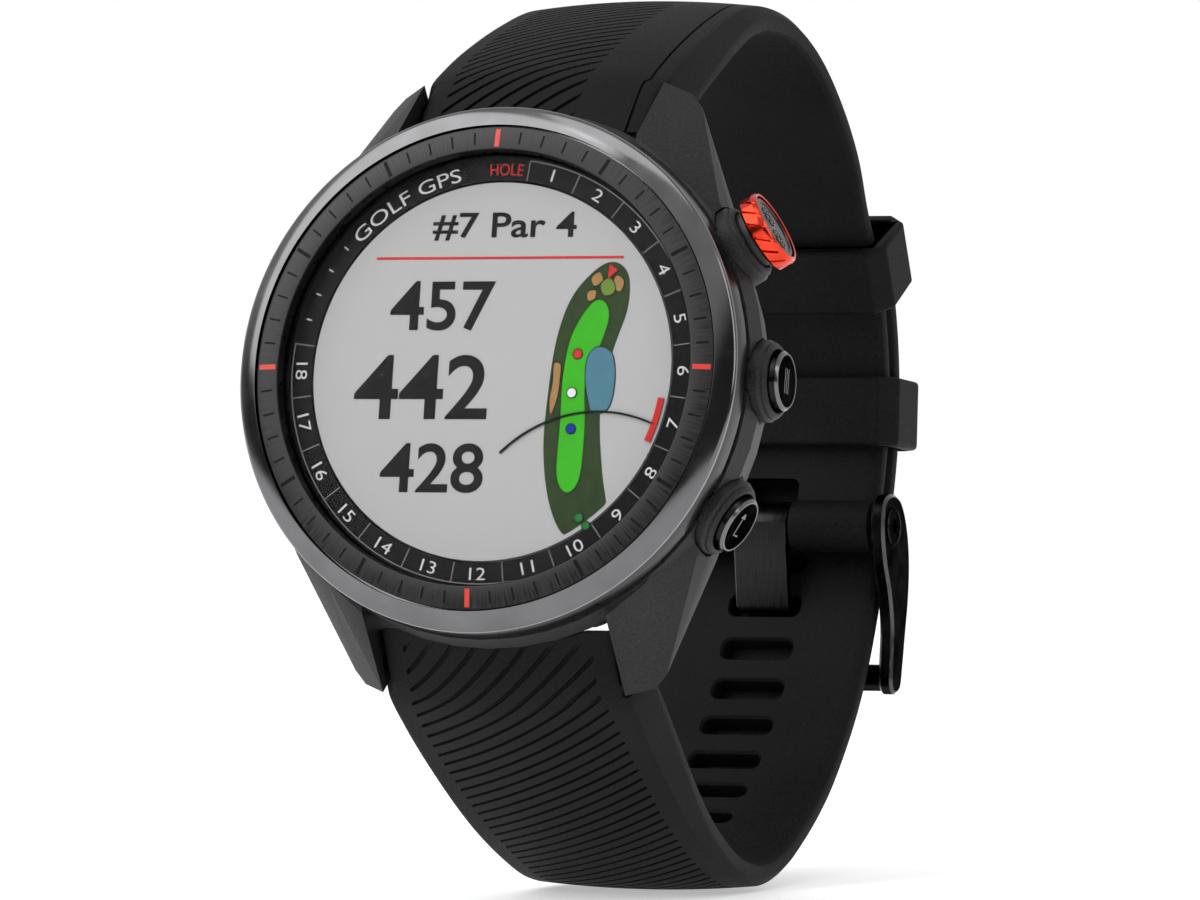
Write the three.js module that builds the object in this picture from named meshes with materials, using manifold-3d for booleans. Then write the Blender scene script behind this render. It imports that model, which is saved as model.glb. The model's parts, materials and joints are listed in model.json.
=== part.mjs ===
// Round golf GPS watch with a silicone strap, closed as it is when worn.
// Millimetres, +Z up. +X is the 3 o'clock side with the three buttons, -Y is the dial side.
// The origin is the middle of the closed strap, where the wrist is.
import * as THREE from 'three';
import { mergeVertices } from 'three/addons/utils/BufferGeometryUtils.js';
import { ConvexGeometry } from 'three/addons/geometries/ConvexGeometry.js';
import Module from 'manifold-3d';

const wasm = await Module();
wasm.setup();

// ---- driving dimensions ------------------------------------------------------------------

const DIAL_LEAN = 10.15;                // degrees that the dial leans back from upright
const DIAL_CENTRE = [0, -41, 7];        // middle of the tick ring's face, from the origin

// The watch head is drawn lying face up: x to 3 o'clock, y to 12 o'clock, z out of the dial,
// with z = 0 on the tick ring's face.
const BEZEL_R = 23.26;
const BEZEL_TOP_R = 21.45;
const BEZEL_BOTTOM = -3.5;
const TICK_RING_R = [19.3, 21.3];
const LENS_R = 19.05;
const LENS_Z = [-1.9, -1.0];
const SCALE_RING_R = [16.95, 19.1];
const SCALE_RING_Z = [-2.5, -2.15];
const DISPLAY_R = 16.75;
const CASE_TOP = -3.8;
const CASE_WAIST_R = 23.9;
const CASE_WAIST_Z = -6.0;
const CASE_BOTTOM = -11.5;
const CAVITY_R = 20.9;
const COVER_R = 21.6;
const COVER_Z = [-12.6, -11.8];
const WINDOW_R = 6.9;
const WINDOW_BOTTOM = -14.8;
const SCREW_CIRCLE_R = 19.0;            // the four screws of the back cover
const PORT_Y = 17.2;                    // charging port, from the dial's middle line
const CONTACTS_X = [-2.7, -0.9, 0.9, 2.7];
const LUG_GAP_HALF = 11.4;
const PIN_Y = 24.4;                     // strap pins, from the dial's middle line
const PIN_Z = -10.5;
const PIN_R = 0.8;
const PIN_HALF_LENGTH = 12.9;

// Buttons: angle from 12 o'clock, distance of the pressed face from the dial's axis.
const BUTTON_Z = -7.3;
const BUTTON_TRAVEL = 0.5;
const BUTTON_SEAT_R = 3.8;              // hollow in the case's side round each button
const BUTTON_SEAT_FLOOR = 22.9;
const STEM_R = 1.0;
const STEM_INNER_END = 20.2;
const SWITCH_LENGTH = 2.2;
const BUTTONS = [
  { name: 'upper', angle: 60, face: 27.4, guardTop: 25.0 },
  { name: 'middle', angle: 90, face: 25.6, guardTop: 24.8 },
  { name: 'lower', angle: 120, face: 25.6, guardTop: 24.8 },
];

// The strap is drawn in the upright plane through its middle, as [back, up] from the dial centre.
const STRAP_HALF = 11.0;
const SHOULDER_HALF = 12.6;
const STRAP_THICKNESS = 2.7;
const LUG_END_THICKNESS = 5.0;
const SHOULDER_AT = 6.2;                // length of strap that lies between the lugs
const LUG_CLEARANCE = 0.15;
const STATION_GAP = 4.4;                // between a strap's drawn sections
const ARC_CENTRE = [50.7, -2.2];        // the two straps lie on this arc under the keepers
const BUCKLE_STRAP_ARC_R = 27.45;
const HOLE_STRAP_ARC_R = 30.4;
const HOLE_PITCH = 4.85;
const HOLE_SIZE = [7.0, 2.1];
const HOLES = 12;
const HOLES_BEFORE_TONGUE = 6;
const TONGUE_HOLE = [74.75, -23.75];
const LATCH_AT = 9.3;                   // quick-release sliders, from the strap's lug end
const LATCH_DEPTH = 3.4;

const BUCKLE_PIN = [72.8, -15.0];
const BUCKLE_PIN_R = 0.8;
const ROLL_R = 2.45;
const TONGUE_HALF = 2.6;
const ARM_X = [11.35, 12.75];
const CROSSBAR = [74.1, -29.4];
const CROSSBAR_SIZE = 2.5;

const KEEPER_LENGTH = 6.6;
const KEEPER_WALL = 1.3;
const KEEPER_ANGLES = { upper: 26, lower: -4.5 };

// Corners of the round pieces.
const CASE_ROUND = 48;
const ROUND = 32;
const BUTTON_ROUND = 24;
const SMALL_ROUND = 16;
const TINY_ROUND = 8;

// ---- materials ---------------------------------------------------------------------------

const finish = (color, roughness, metalness) => ({ color, roughness, metalness });
const FINISHES = {
  polymer: finish('#35373a', 0.6, 0.1),
  gunmetal: finish('#4a4c4f', 0.22, 0.9),
  brushedDark: finish('#2b2c2e', 0.4, 0.7),
  silicone: finish('#1d1e20', 0.75, 0.0),
  steel: finish('#8d9093', 0.3, 0.9),
  darkSteel: finish('#232426', 0.28, 0.9),
  red: finish('#c8321f', 0.25, 0.8),
  glass: finish('#101214', 0.05, 0.0),
  scale: finish('#0c0c0e', 0.2, 0.0),
  display: finish('#c9cbcc', 0.4, 0.0),
  board: finish('#1d4a2c', 0.5, 0.1),
  gold: finish('#c9a24a', 0.3, 0.9),
  battery: finish('#9aa0a6', 0.4, 0.6),
  seal: finish('#7a2f1c', 0.8, 0.0),
};

// ---- geometry helpers --------------------------------------------------------------------

const radians = THREE.MathUtils.degToRad;

// A closed body with shared vertices, no zero-area corners, and its faces turned outwards.
function closedBody(source) {
  const bare = source.index ? source.toNonIndexed() : source.clone();
  bare.deleteAttribute('normal');
  bare.deleteAttribute('uv');
  const merged = mergeVertices(bare, 1e-4);
  const points = merged.attributes.position;
  const index = merged.index.array;
  const kept = [];
  const a = new THREE.Vector3();
  const b = new THREE.Vector3();
  const c = new THREE.Vector3();
  let volume = 0;
  for (let i = 0; i < index.length; i += 3) {
    const [p, q, r] = [index[i], index[i + 1], index[i + 2]];
    if (p === q || q === r || r === p) continue;
    kept.push(p, q, r);
    a.fromBufferAttribute(points, p);
    b.fromBufferAttribute(points, q);
    c.fromBufferAttribute(points, r);
    volume += a.dot(b.cross(c));
  }
  if (volume < 0) kept.reverse();
  merged.setIndex(kept);
  return merged;
}

function toSolid(geometry) {
  const body = closedBody(geometry);
  return new wasm.Manifold(new wasm.Mesh({
    numProp: 3,
    vertProperties: new Float32Array(body.attributes.position.array),
    triVerts: new Uint32Array(body.index.array),
  }));
}

function toGeometry(solid) {
  const mesh = solid.getMesh();
  const geometry = new THREE.BufferGeometry();
  geometry.setAttribute('position', new THREE.BufferAttribute(mesh.vertProperties, 3));
  geometry.setIndex(new THREE.BufferAttribute(mesh.triVerts, 1));
  return geometry;
}

function join(first, ...others) {
  return toGeometry(others.reduce((sum, other) => sum.add(toSolid(other)), toSolid(first)));
}

function cut(first, ...tools) {
  return toGeometry(tools.reduce((rest, tool) => rest.subtract(toSolid(tool)), toSolid(first)));
}

const box = (x, y, z, at) => new THREE.BoxGeometry(x, y, z).translate(...at);

// A turned piece about the z axis from [radius, height] points. A ring's outline closes on itself.
function turned(outline, segments = ROUND) {
  const points = outline.map(([r, h]) => new THREE.Vector2(r, h));
  if (outline[0][0] > 0) points.push(points[0].clone());
  return new THREE.LatheGeometry(points, segments).rotateX(Math.PI / 2);
}

const ring = ([inner, outer], [low, high], segments = ROUND) =>
  turned([[inner, low], [outer, low], [outer, high], [inner, high]], segments);

const disc = (radius, [low, high], segments = ROUND) =>
  turned([[0, low], [radius, low], [radius, high], [0, high]], segments);

function roundedRectangle(width, height, radius) {
  const shape = new THREE.Shape();
  const [x, y] = [width / 2, height / 2];
  shape.moveTo(x, y - radius);
  shape.absarc(x - radius, y - radius, radius, 0, Math.PI / 2);
  shape.absarc(radius - x, y - radius, radius, Math.PI / 2, Math.PI);
  shape.absarc(radius - x, radius - y, radius, Math.PI, 1.5 * Math.PI);
  shape.absarc(x - radius, radius - y, radius, 1.5 * Math.PI, 2 * Math.PI);
  return shape;
}

function extruded(shape, depth, bevel = 0, curveSegments = 3) {
  return new THREE.ExtrudeGeometry(shape, {
    depth: depth - 2 * bevel,
    bevelEnabled: bevel > 0,
    bevelThickness: bevel,
    bevelSize: bevel,
    bevelOffset: -bevel,
    bevelSegments: 1,
    curveSegments,
  }).translate(0, 0, bevel);
}

// A rounded block with its flat faces across z, from low to high.
const block = (width, height, radius, [low, high], at = [0, 0]) =>
  extruded(roundedRectangle(width, height, radius), high - low).translate(at[0], at[1], low);

// Turns a piece drawn along z so that z runs along x, and its x and y become back and up.
const alongX = (geometry, from) => geometry
  .applyMatrix4(new THREE.Matrix4().makeBasis(
    new THREE.Vector3(0, 1, 0), new THREE.Vector3(0, 0, 1), new THREE.Vector3(1, 0, 0)))
  .translate(from, 0, 0);

const rodAlongX = (radius, low, high, [y, z], segments = SMALL_ROUND) =>
  alongX(disc(radius, [0, high - low], segments), low).translate(0, y, z);

// ---- scene graph -------------------------------------------------------------------------

const group = new THREE.Group();
const head = new THREE.Group();
const band = new THREE.Group();
head.position.set(...DIAL_CENTRE);
head.rotation.x = radians(90 - DIAL_LEAN);
band.position.set(...DIAL_CENTRE);
group.add(head, band);

function addPiece(parent, name, geometry, finishName) {
  const mesh = new THREE.Mesh(closedBody(geometry), new THREE.MeshStandardMaterial(FINISHES[finishName]));
  mesh.name = name;
  parent.add(mesh);
  return mesh;
}

// ---- the case ----------------------------------------------------------------------------

// Corners of the lug at 1 o'clock; the other three are its mirror images.
const LUG_CORNERS = [
  [LUG_GAP_HALF, 16, CASE_TOP - 0.15], [LUG_GAP_HALF, 21.2, -4.1], [LUG_GAP_HALF, 27.3, -10.1],
  [LUG_GAP_HALF, 25.0, -12.5], [LUG_GAP_HALF, 16, CASE_BOTTOM],
  [15.0, 18.3, CASE_TOP - 0.15], [19.4, 10.6, CASE_TOP - 0.15],
  [18.8, 15.7, CASE_WAIST_Z], [21.3, 10.8, CASE_WAIST_Z], [14.7, 25.2, -11.3], [13.7, 26.4, -11.5],
  [18.6, 15.0, CASE_BOTTOM], [19.8, 10.6, CASE_BOTTOM], [14.2, 24.4, -12.5],
];

function lug(sideX, sideY) {
  return new ConvexGeometry(LUG_CORNERS.map(([x, y, z]) => new THREE.Vector3(sideX * x, sideY * y, z)));
}

// A piece drawn along z from the dial's axis, laid along a button's direction.
const laidRadially = (geometry, angle) => geometry
  .rotateY(Math.PI / 2)
  .rotateZ(radians(90 - angle))
  .translate(0, 0, BUTTON_Z);

const SCREW_PLACES = [45, 135, 225, 315].map((angle) => [
  SCREW_CIRCLE_R * Math.cos(radians(angle)), SCREW_CIRCLE_R * Math.sin(radians(angle)),
]);
const atScrews = (tool) => SCREW_PLACES.map(([x, y]) => tool().translate(x, y, 0));

function caseBody() {
  const wall = turned([
    [CAVITY_R, CASE_TOP], [23.45, CASE_TOP], [CASE_WAIST_R, CASE_WAIST_Z],
    [22.7, -10.8], [21.9, CASE_BOTTOM], [CAVITY_R, CASE_BOTTOM],
  ], CASE_ROUND);
  const lugs = [[1, 1], [-1, 1], [-1, -1], [1, -1]].map(([x, y]) => lug(x, y));
  const cavity = disc(CAVITY_R, [CASE_BOTTOM - 2, 0], CASE_ROUND);
  const coverSeat = disc(COVER_R + 0.3, [CASE_BOTTOM - 4, CASE_BOTTOM], CASE_ROUND);
  const posts = atScrews(() => disc(2.1, [CASE_BOTTOM, -8.6], 12));
  const screwHoles = atScrews(() => disc(0.75, [CASE_BOTTOM - 1, -9.2], TINY_ROUND));
  const strapPockets = [1, -1].map((side) => (
    box(2 * LUG_GAP_HALF, 10, 10, [0, side * 26.2, CASE_WAIST_Z - 5.2])));
  const pinHoleEnd = PIN_HALF_LENGTH + 0.3;
  const pinHoles = [1, -1].map((side) => (
    rodAlongX(PIN_R + 0.15, -pinHoleEnd, pinHoleEnd, [side * PIN_Y, PIN_Z], 12)));
  const bores = BUTTONS.map(({ angle }) => laidRadially(disc(2.0, [18, 27], SMALL_ROUND), angle));
  const seats = BUTTONS.map(({ angle }) => (
    laidRadially(disc(BUTTON_SEAT_R, [BUTTON_SEAT_FLOOR, 28], 20), angle)));
  const shell = cut(join(wall, ...lugs), cavity, coverSeat);
  return cut(join(shell, ...posts), ...screwHoles, ...strapPockets, ...pinHoles, ...bores, ...seats);
}

addPiece(head, 'case_body', caseBody(), 'polymer');

addPiece(head, 'bezel', turned([
  [TICK_RING_R[0], BEZEL_BOTTOM], [TICK_RING_R[0], -0.95], [BEZEL_TOP_R, -0.95], [BEZEL_TOP_R, 0],
  [23.12, -0.88], [BEZEL_R, -1.1], [BEZEL_R, -3.3], [23.06, BEZEL_BOTTOM],
], CASE_ROUND), 'gunmetal');
addPiece(head, 'tick_ring', ring(TICK_RING_R, [-0.8, 0], CASE_ROUND), 'brushedDark');
addPiece(head, 'lens', disc(LENS_R, LENS_Z, CASE_ROUND), 'glass');
addPiece(head, 'hole_scale_ring', ring(SCALE_RING_R, SCALE_RING_Z, CASE_ROUND), 'scale');
addPiece(head, 'display_panel', disc(DISPLAY_R, [-3.1, -2.2]), 'display');
addPiece(head, 'display_bracket', turned([
  [0, -4.0], [18.9, -4.0], [18.9, -2.8], [17.2, -2.8], [17.2, -3.4], [0, -3.4],
]), 'polymer');
addPiece(head, 'bezel_seal', ring([21.2, 22.2], [-3.72, -3.56]), 'seal');

// ---- inside the case ---------------------------------------------------------------------

addPiece(head, 'gps_antenna', ring([17.4, 20.4], [-5.2, -4.3]), 'gold');
addPiece(head, 'main_board', disc(19.4, [-6.1, -5.5]), 'board');
addPiece(head, 'battery', block(24, 20, 3, [-10.4, -6.5], [1.5, 0]), 'battery');
addPiece(head, 'vibration_motor', disc(3.6, [-9.6, -6.6], SMALL_ROUND).translate(-15.0, 0, 0), 'steel');
addPiece(head, 'sensor_board', disc(10.5, [-11.6, -10.8]), 'board');

// ---- back cover --------------------------------------------------------------------------

function backCover() {
  const dome = turned([
    [WINDOW_R + 0.3, -14.2], [11.8, -13.8], [14.2, COVER_Z[0]], [21.2, COVER_Z[0]], [COVER_R, -12.2],
    [COVER_R, COVER_Z[1]], [13.6, COVER_Z[1]], [11.2, -12.8], [WINDOW_R + 0.3, -12.8],
  ]);
  const screwHoles = atScrews(() => disc(0.8, [-13, -11], TINY_ROUND));
  const counterbores = atScrews(() => disc(1.6, [-13, -12.2], 12));
  const portSlot = block(8.8, 3.6, 1.7, [-13, -11], [0, PORT_Y]);
  return cut(dome, ...screwHoles, ...counterbores, portSlot);
}

addPiece(head, 'back_cover', backCover(), 'steel');
addPiece(head, 'back_cover_seal', ring([20.95, 21.45], [-11.74, -11.56]), 'seal');
addPiece(head, 'sensor_window', turned([
  [0, WINDOW_BOTTOM], [5.2, WINDOW_BOTTOM], [WINDOW_R, -14.3], [WINDOW_R, -12.6], [0, -12.6],
]), 'glass');

SCREW_PLACES.forEach(([x, y], number) => {
  const headAndShank = turned([
    [0, -12.65], [1.3, -12.65], [1.3, -12.25], [0.55, -12.25], [0.55, -9.5], [0, -9.5],
  ], 12);
  const drive = box(1.6, 0.4, 0.4, [0, 0, -12.65]);
  addPiece(head, `back_screw_${number + 1}`, cut(headAndShank, drive).translate(x, y, 0), 'steel');
});

function chargePort() {
  const insert = block(8.2, 3.0, 1.4, [-12.6, -11.9], [0, PORT_Y]);
  return cut(insert, ...CONTACTS_X.map((x) => disc(0.65, [-13, -11], TINY_ROUND).translate(x, PORT_Y, 0)));
}

addPiece(head, 'charge_port', chargePort(), 'polymer');
CONTACTS_X.forEach((x, number) => {
  const contact = disc(0.5, [-12.7, -11.4], TINY_ROUND).translate(x, PORT_Y, 0);
  addPiece(head, `charge_contact_${number + 1}`, contact, 'gold');
});

// ---- buttons -----------------------------------------------------------------------------

// The upper button's cap stands in a red ring; the other two are plain round caps.
function addCap({ name, angle, face }, capBottom) {
  const lay = (outline) => laidRadially(turned(outline, BUTTON_ROUND), angle);
  if (name !== 'upper') {
    addPiece(head, `${name}_button_cap`, lay([
      [0, capBottom], [2.65, capBottom], [2.65, face - 0.25], [2.4, face], [0, face],
    ]), 'darkSteel');
    return;
  }
  addPiece(head, 'upper_button_ring', lay([
    [3.05, face - 1.75], [3.1, face - 1.75], [3.5, face - 1.45], [3.5, face - 0.35],
    [3.2, face], [3.05, face],
  ]), 'red');
  addPiece(head, 'upper_button_cap', lay([
    [0, capBottom], [2.6, capBottom], [2.6, face - 1.5], [2.9, face - 1.4],
    [2.9, face - 0.12], [0, face - 0.12],
  ]), 'darkSteel');
}

function addButton(button) {
  const { name, angle, guardTop } = button;
  const guardBottom = BUTTON_SEAT_FLOOR + 0.2;
  const capBottom = guardTop - 1.3;
  const lay = (geometry) => laidRadially(geometry, angle);
  const collar = turned([
    [2.8, guardBottom], [3.6, guardBottom], [3.6, guardTop - 0.5], [3.2, guardTop], [2.8, guardTop],
  ], BUTTON_ROUND);
  addPiece(head, `${name}_button_guard`, lay(collar), 'polymer');
  addCap(button, capBottom);
  addPiece(head, `${name}_button_stem`, lay(disc(STEM_R, [STEM_INNER_END, capBottom - 0.1], 12)), 'steel');
  addPiece(head, `${name}_button_seal`, lay(ring([1.15, 1.8], [21.7, 22.3], SMALL_ROUND)), 'seal');
  const switchMiddle = STEM_INNER_END - BUTTON_TRAVEL - 0.15 - SWITCH_LENGTH / 2;
  addPiece(head, `${name}_switch`, lay(box(2.2, 3.6, SWITCH_LENGTH, [0, 0, switchMiddle])), 'steel');
}

BUTTONS.forEach(addButton);

// ---- strap pins --------------------------------------------------------------------------

for (const [name, side] of [['upper_strap_pin', 1], ['lower_strap_pin', -1]]) {
  addPiece(head, name, rodAlongX(PIN_R, -PIN_HALF_LENGTH, PIN_HALF_LENGTH, [side * PIN_Y, PIN_Z]), 'steel');
}

// ---- strap outlines ----------------------------------------------------------------------

// Converts [y, z] of the lying watch head to [back, up] of the upright strap plane.
function upright([y, z]) {
  const lean = radians(DIAL_LEAN);
  return [y * Math.sin(lean) - z * Math.cos(lean), y * Math.cos(lean) + z * Math.sin(lean)];
}

const onArc = (radius, degrees) => [
  ARC_CENTRE[0] + radius * Math.cos(radians(degrees)),
  ARC_CENTRE[1] + radius * Math.sin(radians(degrees)),
];

function arcPoints(radius, from, to, steps) {
  return Array.from({ length: steps + 1 }, (_, i) => onArc(radius, from + (to - from) * i / steps));
}

// Middle of each strap's outer face, from its lug end to its free end.
const holeStrapLine = [
  [2.4, -23.9], [4.9, -29.2], [8.9, -32.7], [18.1, -38.9], [24.5, -42.5], [30.9, -45.3], [36.5, -47.15],
  [42.2, -47.85], [48.0, -46.95], [53.2, -44.85], [58.0, -42.3], [62.2, -39.4], [69.4, -32.4], [74.8, -23.8],
  ...arcPoints(HOLE_STRAP_ARC_R, -20, 31, 6),
];
const buckleStrapLine = [
  [10.6, 21.6], [14.7, 25.7], [19.5, 28.1], [25.0, 30.1], [31.2, 31.9], [37.8, 33.3], [44.0, 33.5],
  [51.6, 32.4], [58.6, 29.5], [64.9, 24.9], [69.1, 20.3],
  ...arcPoints(BUCKLE_STRAP_ARC_R, 40, -19, 7),
  [75.0, -15.0],
];

const smoothLine = (points) => new THREE.CatmullRomCurve3(
  points.map(([y, z]) => new THREE.Vector3(0, y, z)), false, 'centripetal');

const { lerp, smoothstep } = THREE.MathUtils;

// Half widths, crown and thickness of the strap's section at a distance from its lug end.
function strapSection(distance) {
  const narrowing = smoothstep(distance, SHOULDER_AT, 42);
  const betweenLugs = distance < SHOULDER_AT;
  const half = betweenLugs ? LUG_GAP_HALF - LUG_CLEARANCE : lerp(SHOULDER_HALF, STRAP_HALF, narrowing);
  const faceHalf = betweenLugs ? half - 0.5 : lerp(11.3, STRAP_HALF - 0.7, narrowing);
  return {
    half,
    faceHalf,
    crown: lerp(1.2, 0.5, narrowing),
    facetDepth: lerp(4.0, 1.2, narrowing),
    thickness: lerp(LUG_END_THICKNESS, STRAP_THICKNESS, smoothstep(distance, SHOULDER_AT, 46)),
  };
}

// Section outline as [x, depth from the outer face], going round once.
function sectionPoints({ half, faceHalf, crown, facetDepth, thickness }) {
  const side = [
    [0.55 * faceHalf, 0.3 * crown], [faceHalf, crown], [half, facetDepth],
    [half, thickness - 0.4], [half - 0.7, thickness],
  ];
  return [[0, 0], ...side, ...side.slice().reverse().map(([x, depth]) => [-x, depth])];
}

// Closed body through rings of equally many points, with flat ends.
function lofted(rings) {
  const count = rings[0].length;
  const index = [];
  for (let i = 0; i + 1 < rings.length; i += 1) {
    for (let j = 0; j < count; j += 1) {
      const a = i * count + j;
      const b = i * count + (j + 1) % count;
      index.push(a, b, a + count, b, b + count, a + count);
    }
  }
  const last = (rings.length - 1) * count;
  for (let j = 1; j + 1 < count; j += 1) {
    index.push(0, j + 1, j, last, last + j, last + j + 1);
  }
  const geometry = new THREE.BufferGeometry();
  geometry.setAttribute('position', new THREE.Float32BufferAttribute(rings.flat(2), 3));
  geometry.setIndex(index);
  return geometry;
}

// A strap along its outer line. At the lug end its section lies along startAcross, and turns
// square to the line by the shoulder.
function strap(line, startAcross) {
  const curve = smoothLine(line);
  curve.arcLengthDivisions = 800;
  const length = curve.getLength();
  const distances = [0, 2, 4, SHOULDER_AT - 0.15, SHOULDER_AT + 0.15];
  const freeStart = SHOULDER_AT + 2;
  const steps = Math.round((length - freeStart) / STATION_GAP);
  for (let i = 0; i <= steps; i += 1) {
    distances.push(lerp(freeStart, length, i / steps));
  }
  const inwardSign = Math.sign(line[0][1]) || 1;
  const rings = distances.map((distance) => {
    const at = curve.getPointAt(distance / length);
    const along = curve.getTangentAt(distance / length);
    const square = new THREE.Vector3(0, inwardSign * along.z, -inwardSign * along.y);
    const turn = smoothstep(distance, 0, SHOULDER_AT);
    const across = new THREE.Vector3(0, ...startAcross).lerp(square, turn).normalize();
    return sectionPoints(strapSection(distance))
      .map(([x, depth]) => [x, at.y + across.y * depth, at.z + across.z * depth]);
  });
  return { geometry: lofted(rings), curve, length, inwardSign };
}

// Places a piece drawn round the origin at a distance along a strap: its x stays across the
// strap, its y runs along the line and its z points inwards, starting on the outer face.
function onStrap({ curve, length, inwardSign }, distance, geometry) {
  const at = curve.getPointAt(distance / length);
  const along = curve.getTangentAt(distance / length);
  const inward = new THREE.Vector3(0, inwardSign * along.z, -inwardSign * along.y);
  const across = new THREE.Vector3().crossVectors(along, inward);
  return geometry
    .applyMatrix4(new THREE.Matrix4().makeBasis(across, along, inward))
    .translate(at.x, at.y, at.z);
}

// ---- hole strap --------------------------------------------------------------------------

// Distance along a strap of the point of its line that lies nearest to a place.
function nearestDistance({ curve, length }, [y, z]) {
  const steps = 2000;
  let best = 0;
  let least = Infinity;
  for (let i = 0; i <= steps; i += 1) {
    const point = curve.getPointAt(i / steps);
    const gap = Math.hypot(point.y - y, point.z - z);
    if (gap < least) [least, best] = [gap, i / steps];
  }
  return best * length;
}

const holeStrap = strap(holeStrapLine, [1, 0]);
const tongueHoleAt = nearestDistance(holeStrap, TONGUE_HOLE);

const strapHole = () => extruded(roundedRectangle(...HOLE_SIZE, 0.8), 12, 0, 2).translate(0, 0, -4);
const pinHole = (side) => rodAlongX(PIN_R + 0.2, -14, 14, upright([side * PIN_Y, PIN_Z]));
const latchPocket = (part) => onStrap(part, LATCH_AT + 0.7, block(9.0, 7.6, 1, [LATCH_DEPTH - 0.2, 8]));

function holeStrapBody() {
  const holes = [];
  for (let i = -HOLES_BEFORE_TONGUE; i < HOLES - HOLES_BEFORE_TONGUE; i += 1) {
    holes.push(onStrap(holeStrap, tongueHoleAt + i * HOLE_PITCH, strapHole()));
  }
  return cut(holeStrap.geometry, ...holes, pinHole(-1), latchPocket(holeStrap));
}

addPiece(band, 'hole_strap', holeStrapBody(), 'silicone');

// ---- buckle strap ------------------------------------------------------------------------

const buckleStrap = strap(buckleStrapLine, [
  Math.cos(2 * radians(DIAL_LEAN)), -Math.sin(2 * radians(DIAL_LEAN)),
]);

function buckleStrapBody() {
  const roll = rodAlongX(ROLL_R, -STRAP_HALF, STRAP_HALF, BUCKLE_PIN, BUTTON_ROUND);
  const bore = rodAlongX(BUCKLE_PIN_R + 0.3, -14, 14, BUCKLE_PIN);
  const notch = box(2 * TONGUE_HALF + 0.8, 12, 9, [0, ...BUCKLE_PIN]);
  return cut(join(buckleStrap.geometry, roll), bore, notch, pinHole(1), latchPocket(buckleStrap));
}

addPiece(band, 'buckle_strap', buckleStrapBody(), 'silicone');

// Quick-release slider in the pocket under each strap's lug end.
function latch(part) {
  const slider = block(8.4, 5.4, 0.8, [LATCH_DEPTH + 0.1, LATCH_DEPTH + 1.3]);
  const grip = block(5.0, 1.0, 0.3, [LATCH_DEPTH + 1.2, LATCH_DEPTH + 1.9], [0, 1.2]);
  return onStrap(part, LATCH_AT, join(slider, grip));
}

addPiece(band, 'upper_latch', latch(buckleStrap), 'darkSteel');
addPiece(band, 'lower_latch', latch(holeStrap), 'darkSteel');

// ---- buckle ------------------------------------------------------------------------------

const shapeThrough = (points) => new THREE.Shape(points.map(([y, z]) => new THREE.Vector2(y, z)));

const ARM_OUTLINE = [
  [70.4, -13.0], [71.6, -12.2], [73.6, -12.0], [75.6, -12.7], [77.2, -15.0], [77.9, -18.0], [77.7, -21.5],
  [76.7, -25.0], [75.9, -28.2], [75.2, -30.4], [73.6, -31.0], [72.4, -30.2], [72.6, -27.6], [72.9, -24.6],
  [72.3, -21.4], [70.9, -18.6], [70.1, -15.6],
];

function buckleFrame() {
  const armThickness = ARM_X[1] - ARM_X[0];
  const arm = () => extruded(shapeThrough(ARM_OUTLINE), armThickness, 0.25);
  const rightArm = alongX(arm(), ARM_X[0]);
  const leftArm = alongX(arm(), -ARM_X[1]);
  const barHalf = ARM_X[1] - 0.3;
  const bar = alongX(extruded(roundedRectangle(CROSSBAR_SIZE, CROSSBAR_SIZE, 0.8), 2 * barHalf), -barHalf)
    .translate(0, ...CROSSBAR);
  const bore = rodAlongX(BUCKLE_PIN_R + 0.15, -14, 14, BUCKLE_PIN);
  const counterbores = [[12.3, 14], [-14, -12.3]]
    .map(([low, high]) => rodAlongX(2.0, low, high, BUCKLE_PIN, BUTTON_ROUND));
  return cut(join(rightArm, leftArm, bar), bore, ...counterbores);
}

addPiece(band, 'buckle_frame', buckleFrame(), 'darkSteel');

const TONGUE_OUTLINE = [
  [70.95, -14.6], [70.95, -17.0], [71.7, -22.6], [72.0, -23.0], [73.3, -23.35], [73.62, -22.6],
  [72.42, -21.9], [72.0, -17.2], [72.6, -15.6], [72.6, -14.6],
];

function buckleTongue() {
  const plate = alongX(extruded(shapeThrough(TONGUE_OUTLINE), 2 * TONGUE_HALF), -TONGUE_HALF);
  const sleeve = rodAlongX(1.85, -TONGUE_HALF, TONGUE_HALF, BUCKLE_PIN);
  return cut(join(sleeve, plate), rodAlongX(BUCKLE_PIN_R + 0.15, -14, 14, BUCKLE_PIN));
}

addPiece(band, 'buckle_tongue', buckleTongue(), 'darkSteel');
addPiece(band, 'buckle_pin', rodAlongX(BUCKLE_PIN_R, -12.1, 12.1, BUCKLE_PIN), 'steel');

for (const [name, side] of [['right_buckle_screw', 1], ['left_buckle_screw', -1]]) {
  const low = side > 0 ? 12.4 : -13.0;
  const screwHead = rodAlongX(1.85, low, low + 0.6, BUCKLE_PIN);
  const slots = [0, 60, 120].map((angle) => box(0.8, 1.9, 0.4, [0, 0, 0])
    .rotateX(radians(angle)).translate(side * 12.95, ...BUCKLE_PIN));
  addPiece(band, name, cut(screwHead, ...slots), 'darkSteel');
}

// ---- keepers -----------------------------------------------------------------------------

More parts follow.
